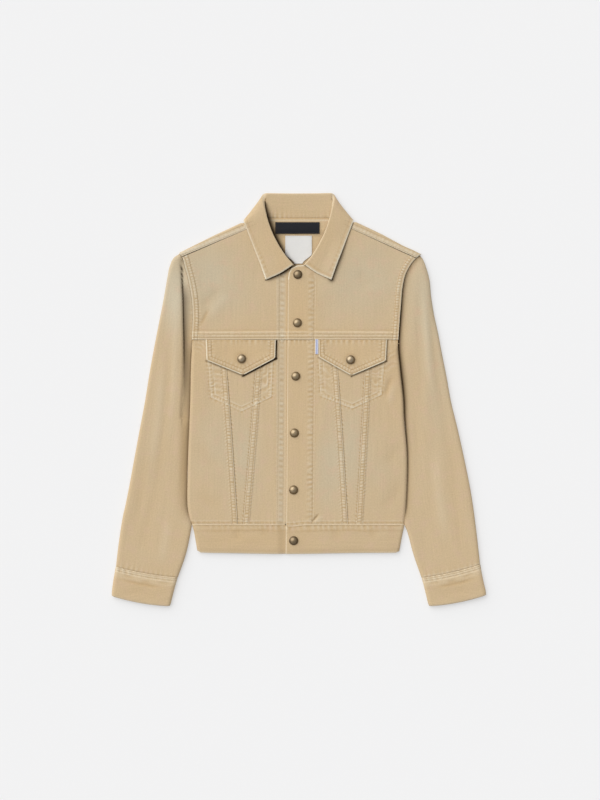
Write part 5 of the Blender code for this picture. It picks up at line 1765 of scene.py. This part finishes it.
# %% Sew the collar
EDGE_STITCH = 6.2
collar = Cloth(sections)
columns = collar.x.shape[1]
fold_column = STAND + ROLL_STEPS // 2
if not np.allclose(collar.points[0, 0], sections[0, 0]):
    fall_run, from_edge, wing = fall_run[:, ::-1], from_edge[:, ::-1], wing[::-1]
    fold_column = columns - 1 - fold_column
collar.front[:] = 1
neck_run = lengths_along(collar.points, 0)[:, columns // 2, None] + 0 * collar.x
in_first_half = (neck_run < neck_run.max() / 2)[..., None]
nearer_end = np.where(in_first_half, collar.points[:1], collar.points[-1:])
edge = np.minimum(np.where(wing, from_edge, 99), np.linalg.norm(collar.points - nearer_end, axis=2))
collar.worn += mix(0.95, 0.50, smooth((-collar.x - 57) / 8)) * hump(edge, 1.5, 2.5) * wing
collar.rise -= (0.30 * hump(edge, 0.9) + 0.24 * hump(edge - EDGE_STITCH, 0.8)) * wing
collar.deep += 0.45 * hump(edge - EDGE_STITCH, 0.8) * wing

wave = waves(neck_run / 8.5 + 0.5 * uneven(neck_run, 20, 701)) * varied(0.4, neck_run, 15, 702)
wave *= smooth((9.0 - edge) / 4.0) * smooth(edge / 1.5) * wing
lower = smooth((250 - collar.y) / 30)
collar.rise += 0.16 * wave * (0.35 + 0.65 * lower)
rub(collar, wave, 0.50 * (0.3 + 0.7 * lower), 0.30 * (0.4 + 0.6 * lower))

fold_at = fall_run[:, [fold_column]]
collar.worn += 0.34 * hump(fall_run - fold_at, 2.4)
neck_wave = waves(neck_run / 7.4 + 0.8 * uneven(neck_run, 15, 703)) * varied(0.45, neck_run, 11, 705)
neck_wave *= hump(fall_run, 8.0, 1.6) * (fall_run < 25)
collar.rise += 0.26 * neck_wave
rub(collar, neck_wave, 0.60, 0.25)

# painted shade along the right wing's fold, kept only on the inside of the stand
plain = collar.painted_shade.copy()
beside_right_wing(collar, 0.98)
inside = (collar.x < -30) & (fall_run < np.minimum(26, fold_at + 1.5))
collar.painted_shade = np.where(inside, collar.painted_shade, plain)
drape(collar, 60, 46, 0.45, 704, smooth((edge - 6) / 12) * 0.8)
lay("cloth_collar", "collar", collar, DOUBLE_PLY,
    bulge=0.8, grain=(fall_run, neck_run), warmth=0.12)

# %% [markdown]
# ## Pocket flaps
#
# A flap hangs from the chest seam and ends in a point. It is doubled and stitched twice along its free
# edges, so it has the same ladder of pillows as the bands. Its edge on the side away from the light lifts.

# %% Flaps
FLAP_TOP, FLAP_HEIGHT, FLAP_PLY, FLAP_LIFT = 98.1, 8.6, 1.7, 1.6
FLAP_ROWS = (2.4, 8.2)


def flap_grid(shape):
    low_left_x, low_left_y, low_right_x, low_right_y = shape["shoulder"]
    point_x, point_y = shape["point"]
    ends = np.array([0, 0.004, 0.012, 0.024, 0.04])
    share = np.r_[ends, np.linspace(0.06, 0.94, 86), 1 - ends[::-1]][None, :]
    down = np.r_[np.linspace(0, 0.9, 46), 0.92, 0.94, 0.956, 0.97, 0.982, 0.992, 1.0][:, None]
    half = np.clip(np.where(share <= 0.5, share * 2, 2 - share * 2), 0, 1)
    bottom_x = mix(np.where(share <= 0.5, low_left_x, low_right_x), point_x, half)
    bottom_y = mix(np.where(share <= 0.5, low_left_y, low_right_y), point_y, half)
    bottom_y = bottom_y + 1.4 * hump(1 - half, 0.035) + 1.2 * hump(half, 0.03)      # rounded corners
    top_x = mix(np.where(share <= 0.5, *shape["top"]), point_x, half)
    lift = FLAP_LIFT * down ** 2 * smooth((share - 0.3) / 0.6)
    return grid(mix(top_x, bottom_x, down), mix(FLAP_TOP, bottom_y, down), FLAP_HEIGHT + lift)


for side, seed in (("right", 550), ("left", 580)):
    shape = FLAPS[side]
    cloth = flap_grid(shape)
    rim = flap_rim(shape, FLAP_TOP + 2)
    pale_edge(cloth, rim, 0.85, 1.1, 0.3)
    if side == "left":      # less rubbed beside the tab
        cloth.worn *= 1 - 0.6 * smooth((36 - cloth.x) / 1.5) * smooth((cloth.y - 71) / 3)
    # painted shade on the flap's rim, more on the edges away from the light
    upright_right, right, left, upright_left = FLAP_SHADE[side]
    cloth.rim_painted_shade += np.where(cloth.x > shape["point"][0], right, left)
    cloth.rim_painted_shade += (upright_right - right) * (cloth.x > shape["shoulder"][2] - 1)
    cloth.rim_painted_shade += (upright_left - left) * (cloth.x < shape["shoulder"][0] + 1)
    near, far = FLAP_ROWS
    for offset in (near, far):
        sew(cloth, inset(rim, offset), "flaps", 0.30, 2.2)
    ladder(cloth, inset(rim, near), far - near, PILLOW, 0.28, seed, side=1, tone=1.1, notch_width=0.2)
    pucker(cloth, inset(rim, far + 0.4), 4.4, 6.2, 0.22, seed + 2, side=1, tone=0.65)
    top_seam = line(*[(x, FLAP_TOP - 0.4) for x in shape["top"]])
    pucker(cloth, top_seam, 6.0, 9.0, 0.26, seed + 4, side=-1, tone=0.8)
    # a richer colour with painted shade below the chest seam and round the button
    cloth.deep += 0.45 * hump(cloth.y - FLAP_TOP, 3.2) * varied(0.3, cloth.x, 15.0, seed + 9)
    from_button = np.hypot(cloth.x - FLAP_BUTTONS[side][0], cloth.y - FLAP_BUTTONS[side][1])
    cloth.deep += 0.25 * hump(from_button - 9, 3)
    cloth.rise -= 0.3 * hump(from_button, 9)
    drape(cloth, 30, 24, 0.28, seed + 6, smooth(from_button / 12))
    lay("cloth_flap_" + side, "flap_" + side, cloth, FLAP_PLY,
        bulge=0.7, warmth=0.1)

# %% [markdown]
# ## Labels
#
# Two bare ribbons are sewn inside the neck, and one small folded tab is caught in the chest seam beside the
# left flap. They are woven, so they are thinner and flatter than the corduroy, and they carry nothing.

# %% Labels and tab
NECK_LABEL = (-38.9, 34.0, 273.6, 292.6)        # low x, high x, low y, high y
SIZE_LABEL = (-0.6, 21.9, 6.5)                  # x of its middle, half its width, and that of its tip
SIZE_LABEL_Y = (270.4, 241.0, 224.4)            # top, where it begins to narrow, and tip
FLAP_TAB = (27.0, 31.9, 75.0, 99.2)


def on_yoke(x, y):
    """Outer face of a label that lies on the inside of the back yoke."""
    return under_height(x, y) + PLY + LAYER_GAP + LABEL_PLY + 0.15


def edge_shares(count):
    return np.r_[0, 0.006, 0.016, np.linspace(0.03, 0.97, count), 0.984, 0.994, 1]


def ribbon_grid(box, across, down, height):
    """A rectangle of ribbon at a height given as a function of x and y."""
    low_x, high_x, low_y, high_y = box
    x, y = np.meshgrid(mix(low_x, high_x, edge_shares(across)), mix(low_y, high_y, edge_shares(down)))
    return grid(x, y, height(x, y))


cloth = ribbon_grid(NECK_LABEL, 52, 22, on_yoke)
low_x, high_x, low_y, high_y = np.array(NECK_LABEL) + (1.6, -1.6, 1.6, -1.6)
border = line((low_x, low_y), (high_x, low_y), (high_x, high_y), (low_x, high_y), (low_x, low_y))
sew(cloth, border, "neck_label", 0.14)
# painted shade of the collar's fold on the label
beside_right_wing(cloth, 0.6)
pucker(cloth, border, 2.2, 5.0, 0.08, 610, tone=0.0)
drape(cloth, 22, 12, 0.14, 611)
lay("neck_label_ribbon", "neck_label", cloth, LABEL_PLY,
    finish=DARK_RIBBON, slot="dark_label")

middle, half_width, tip = SIZE_LABEL
top, taper, bottom = SIZE_LABEL_Y
down = np.r_[0, 0.005, 0.014, np.linspace(0.03, 0.95, 50), 0.965, 0.98, 0.992, 1.0][:, None]
y = mix(top, bottom, down)
half = mix(half_width, tip, smooth((taper - y) / (taper - bottom)))
x = middle + half * mix(-1, 1, edge_shares(34))
cloth = grid(x, y, on_yoke(x, y))
left, right = (middle + way * (half_width - 1.4) for way in (-1, 1))
border = line((left, taper + 2), (left, top - 1.4), (right, top - 1.4), (right, taper + 2))
sew(cloth, border, "size_label", 0.10)
# painted shade of the collar's fold on the label
beside_right_wing(cloth, 0.72)
drape(cloth, 20, 16, 0.16, 621)
lay("size_label_ribbon", "size_label", cloth, LABEL_PLY,
    finish=PALE_RIBBON, slot="pale_label")

cloth = ribbon_grid(FLAP_TAB, 8, 24, lambda x, y: FRONT_TOP + LAYER_GAP + LABEL_PLY)
drape(cloth, 6, 9, 0.10, 631)
cloth.rise -= 0.25 * hump(cloth.y - FLAP_TAB[2], 1.0)
cloth.worn += hump(cloth.x - (FLAP_TAB[0] + FLAP_TAB[1]) / 2, 1.5, 4)      # the stripe
lay("flap_tab_ribbon", "flap_tab", cloth, LABEL_PLY,
    finish=STRIPED_RIBBON, slot="pale_label")

# %% [markdown]
# ## Buttons
#
# A shank button is a pressed brass cap over a post. The cap is turned round its axis, as on a lathe: a foot,
# a rolled rim, a shallow groove where the patina collects, and a dome that hands have rubbed bright.

# %% Buttons
BUTTON_PROFILE = np.array((    # radius, height in mm, patina, polish; from the dome to the foot
    (1.0, 4.54, 0.0, 0.12), (2.0, 4.35, 0.0, 0.20), (3.0, 4.04, 0.0, 0.30), (3.8, 3.70, 0.0, 0.25),
    (4.6, 3.24, 0.05, 0.2), (5.3, 2.72, 0.15, 0.1), (5.9, 2.16, 0.30, 0.0), (6.4, 1.62, 0.50, 0.0),
    (6.7, 1.28, 0.75, 0.0), (6.9, 1.18, 0.80, 0.0), (7.15, 1.14, 0.50, 0.2), (7.4, 1.00, 0.50, 0.2),
    (7.5, 0.75, 0.70, 0.0), (7.4, 0.45, 1.0, 0.0), (7.0, 0.2, 1.0, 0.0), (6.6, 0.0, 1.0, 0.0),
))
BUTTON_HEIGHT, BUTTON_STEPS = 4.60, 56
FRONT_BUTTONS = ((-2.0, 206.3), (-2.6, 126.6), (-5.3, 38.6), (-7.6, -55.1), (-8.9, -149.0), (-8.7, -232.7))


def turned_mesh():
    """Points and faces of a button, with its patina and polish: a point on top, rings, and a point below."""
    turns = np.linspace(0, 2 * math.pi, BUTTON_STEPS, endpoint=False)
    points = [(0.0, 0.0, BUTTON_HEIGHT)]
    for radius, height, _, _ in BUTTON_PROFILE:
        points += [(radius * math.cos(t), radius * math.sin(t), height) for t in turns]
    points.append((0.0, 0.0, 0.0))
    index = np.arange(1, len(points) - 1).reshape(-1, BUTTON_STEPS)
    first, last = index[0].tolist(), index[-1].tolist()
    faces = [(0, a, b) for a, b in zip(first, first[1:] + first[:1])] + ring_faces(index)
    faces += [(b, a, len(points) - 1) for a, b in zip(last, last[1:] + last[:1])]
    patina, polish = (np.repeat(BUTTON_PROFILE[:, column], BUTTON_STEPS) for column in (2, 3))
    return np.array(points), faces, np.array([0.0, *patina, 1.0]), np.array([0.3, *polish, 0.0])


def place_button(node, x, y, seat, tilt, age):
    """Seat a button; tilt leans its cap. Age adds patina, or polish where it is below 0."""
    points, faces, patina, polish = turned_mesh()
    points[:, 2] += points[:, 2] / BUTTON_HEIGHT * (points[:, 0] * tilt[0] + points[:, 1] * tilt[1])
    points += (x, y, seat + LAYER_GAP)
    made = new_object("brass_" + node, points, faces, BRASS, "antique_brass", node)
    add_mark(made.data, "deep", patina + max(age, 0.0))
    add_mark(made.data, "worn", polish * (1 - age))


lean = np.random.default_rng(77).uniform(-0.03, 0.03, (8, 2)) + (0.03, -0.01)
for n, (x, y) in enumerate(FRONT_BUTTONS):
    seat = WAISTBAND_TOP if y < WAIST_SEAM else PLACKET_TOP
    place_button(f"button_{n + 1}", x, y, seat, lean[n], 0.45 if n in (0, 5) else 0.0)
for n, (side, (x, y)) in enumerate(FLAP_BUTTONS.items()):
    place_button("flap_button_" + side, x, y, FLAP_HEIGHT + 0.5, lean[6 + n], -0.9)
print("turned", len(FRONT_BUTTONS) + len(FLAP_BUTTONS), "buttons,", BUTTON_STEPS, "steps each")

# %% [markdown]
# ## Stitches
#
# Now that all the cloth lies in place, the thread can go on. Each stitch is a small bent bead of cotton. It
# is laid by looking straight down at the cloth from above with a ray, so that it lies in its own groove.

# %% Stitches
STITCH_PITCH, STITCH_LENGTH, STITCH_WIDTH, STITCH_SINK = 3.1, 2.5, 0.50, 0.06
BEAD = ((-0.5, 0.0, 0.35), (-0.34, 0.55, 1.0), (0.0, 0.85, 1.0), (0.34, 0.55, 1.0), (0.5, 0.0, 0.35))
BEAD_SIDES = 6
BEAD_INDEX = np.arange(BEAD_SIDES * len(BEAD)).reshape(-1, BEAD_SIDES)
BEAD_FACES = ring_faces(BEAD_INDEX) + [BEAD_INDEX[0].tolist(), BEAD_INDEX[-1, ::-1].tolist()]
MOST_SLOPE, LOWEST_CLOTH = 1.2, 2.0     # no stitch crosses a higher step or lies lower than this, in mm


def walk(path, pitch, start):
    """Points at an even pitch along a line, each with the line's direction there."""
    ends = np.array(path)
    steps = np.diff(ends, axis=0)
    lengths = np.linalg.norm(steps, axis=1)
    keys = np.r_[0, np.cumsum(lengths)]
    for run in np.arange(start, keys[-1] - pitch / 2, pitch):
        n = min(int(np.searchsorted(keys, run, side="right")) - 1, len(steps) - 1)
        yield ends[n] + steps[n] * (run - keys[n]) / lengths[n], steps[n] / lengths[n]


def height_below(tree, x, y):
    hit = tree.ray_cast(Vector((x * MM, y * MM, 0.05)), Vector((0, 0, -1)))[0]
    return hit.z / MM if hit else -99.0


def bead(at, way, heights):
    """Points of one stitch: five small rings along it, higher in its middle."""
    side = np.array((-way[1], way[0]))
    points = []
    for share, arch, girth in BEAD:
        base = float(np.interp(share, (-0.5, 0, 0.5), heights)) - STITCH_SINK
        for turn in range(BEAD_SIDES):
            angle = math.pi * (turn / 3 + 1 / 6)
            off = side * math.cos(angle) * girth * STITCH_WIDTH / 2
            lift = STITCH_WIDTH * (0.34 * arch + 0.5 * math.sin(angle) * girth)
            points.append((*(at + way * share * STITCH_LENGTH + off), base + lift))
    return points


def stitch_mesh(tree, paths, seed):
    """All the beads along some lines as one mesh's points and faces."""
    rng = np.random.default_rng(seed)
    points, faces = [], []
    for path in paths:
        for at, way in walk(path, STITCH_PITCH, STITCH_PITCH * rng.uniform(0.3, 0.7)):
            swing = rng.uniform(-0.07, 0.07)
            way = np.array((way[0] - swing * way[1], way[1] + swing * way[0]))
            heights = [height_below(tree, *(at + way * STITCH_LENGTH * share)) for share in (-0.5, 0.0, 0.5)]
            if max(heights) - min(heights) > MOST_SLOPE or min(heights) < LOWEST_CLOTH:
                continue
            faces += [[len(points) + corner for corner in face] for face in BEAD_FACES]
            points += bead(at, way, heights)
    return points, faces


def cloth_tree():
    """One search tree over all the cloth and ribbon."""
    corners, faces = [], []
    for name, piece in PIECES.items():
        if name.startswith("cloth_") or name.endswith("_ribbon"):
            start = len(corners)
            corners += [v.co.copy() for v in piece.data.vertices]
            faces += [tuple(start + v for v in p.vertices) for p in piece.data.polygons]
    return BVHTree.FromPolygons(corners, faces)


everything = cloth_tree()
GROUPS = {      # the thread of each group and the slot that it belongs to
    "front": (THREAD, "corduroy"), "cuffs": (THREAD, "corduroy"), "flaps": (THREAD, "corduroy"),
    "neck_label": (DARK_THREAD, "dark_label"), "size_label": (PALE_THREAD, "pale_label"),
}
for n, (group, (finish, slot)) in enumerate(GROUPS.items()):
    points, faces = stitch_mesh(everything, [path for owner, path in THREADS if owner == group], 900 + n)
    new_object("stitches_" + group, points, faces, finish, slot)
    print("stitches_" + group + ":", len(points) // BEAD_INDEX.size, "stitches")

# %% [markdown]
# ## Table, light and camera
#
# The jacket lies on a plain pale table. A broad soft light comes from the upper left, so the shadows fall
# short and soft to the right and below, and the rest of the light comes from all round.

# %% Table
TABLE_HALF, TABLE_DROP = 30.0, 0.3 * MM     # the table lies just below the cloth, so that they never mix
TABLE_PAPER = {"Base Color": (0.50, 0.50, 0.503), "Roughness": 0.95, "Specular IOR Level": 0.0,
               "Emission Color": (1.0, 1.0, 1.0), "Emission Strength": 0.38}
table_mesh = bpy.data.meshes.new("table")
corners = [(x * TABLE_HALF, y * TABLE_HALF, -TABLE_DROP) for x, y in ((-1, -1), (1, -1), (1, 1), (-1, 1))]
table_mesh.from_pydata(corners, [], [(0, 1, 2, 3)])
table = in_scene("table", table_mesh)
paper = new_finish("pale_table", TABLE_PAPER)[0]
paper.cycles.emission_sampling = "NONE"
table_mesh.materials.append(paper)
table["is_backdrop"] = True
print("table:", 2 * TABLE_HALF, "m across")

# %% [markdown]
# The key light is a sun with a very wide angle, which gives the same soft shadows all over the jacket. The
# light from all round keeps the cloth from going black on the other side.

# %% Light
LIGHT_FROM = Vector((-0.72, 0.66, 0.80)).normalized()
KEY_STRENGTH, KEY_SIZE = 2.2, 76.0          # the sun's strength, and its angle in degrees
AROUND_LOW, AROUND_HIGH, AROUND_STRENGTH = 0.38, 1.22, 0.63
AROUND_START = -0.6                         # 1 is towards the key light and -1 is away from it


def light_around():
    """Light from all round, brighter on the side that the key light is on."""
    world = bpy.data.worlds.new("studio")
    bpy.context.scene.world = world
    world.use_nodes = True
    nodes = world.node_tree.nodes
    place = nodes.new("ShaderNodeTexCoord")
    toward = nodes.new("ShaderNodeVectorMath")
    toward.operation = "DOT_PRODUCT"
    feed(toward, {0: place.outputs["Generated"], 1: LIGHT_FROM})
    spread = nodes.new("ShaderNodeMapRange")
    feed(spread, {0: toward.outputs["Value"], 1: AROUND_START, 2: 1.0, 3: AROUND_LOW, 4: AROUND_HIGH})
    feed(nodes["Background"], {"Color": spread.outputs[0], "Strength": AROUND_STRENGTH})


light_around()
sun = bpy.data.lights.new("key", "SUN")
sun.energy = KEY_STRENGTH
sun.angle = math.radians(KEY_SIZE)
key = in_scene("key", sun)
key.rotation_mode = "QUATERNION"
key.rotation_quaternion = (-LIGHT_FROM).to_track_quat("-Z", "Y")
print("key light from", [round(v, 2) for v in LIGHT_FROM])

# %% [markdown]
# The camera looks straight down through a long lens, so the sleeves hardly lean outwards.

# %% Camera
LENS, SENSOR = 85.0, 36.0
VIEW_HEIGHT = 1.32              # metres from the top to the bottom of the picture
AIM = (1.8 * MM, -0.8 * MM, 6.0 * MM)
lens = bpy.data.cameras.new("camera")
lens.lens = LENS
lens.sensor_width = SENSOR
camera = in_scene("camera", lens)
camera.location = Vector(AIM) + Vector((0, 0, VIEW_HEIGHT * LENS / SENSOR))
bpy.context.scene.camera = camera
bpy.context.scene.view_settings.view_transform = "Standard"
print("camera:", round(camera.location.z, 3), "m above the table, looking straight down")

# %% [markdown]
# ## The two boxes
#
# The last step compares the jacket's outside with the imported model's box.

# %% Compare the boxes and finish
scene_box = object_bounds()
growth = [round((b - a) / MM, 1) for sides in zip(CAD_BOX, scene_box) for a, b in zip(*sides)]
print("the sides of the box moved by", growth, "mm")
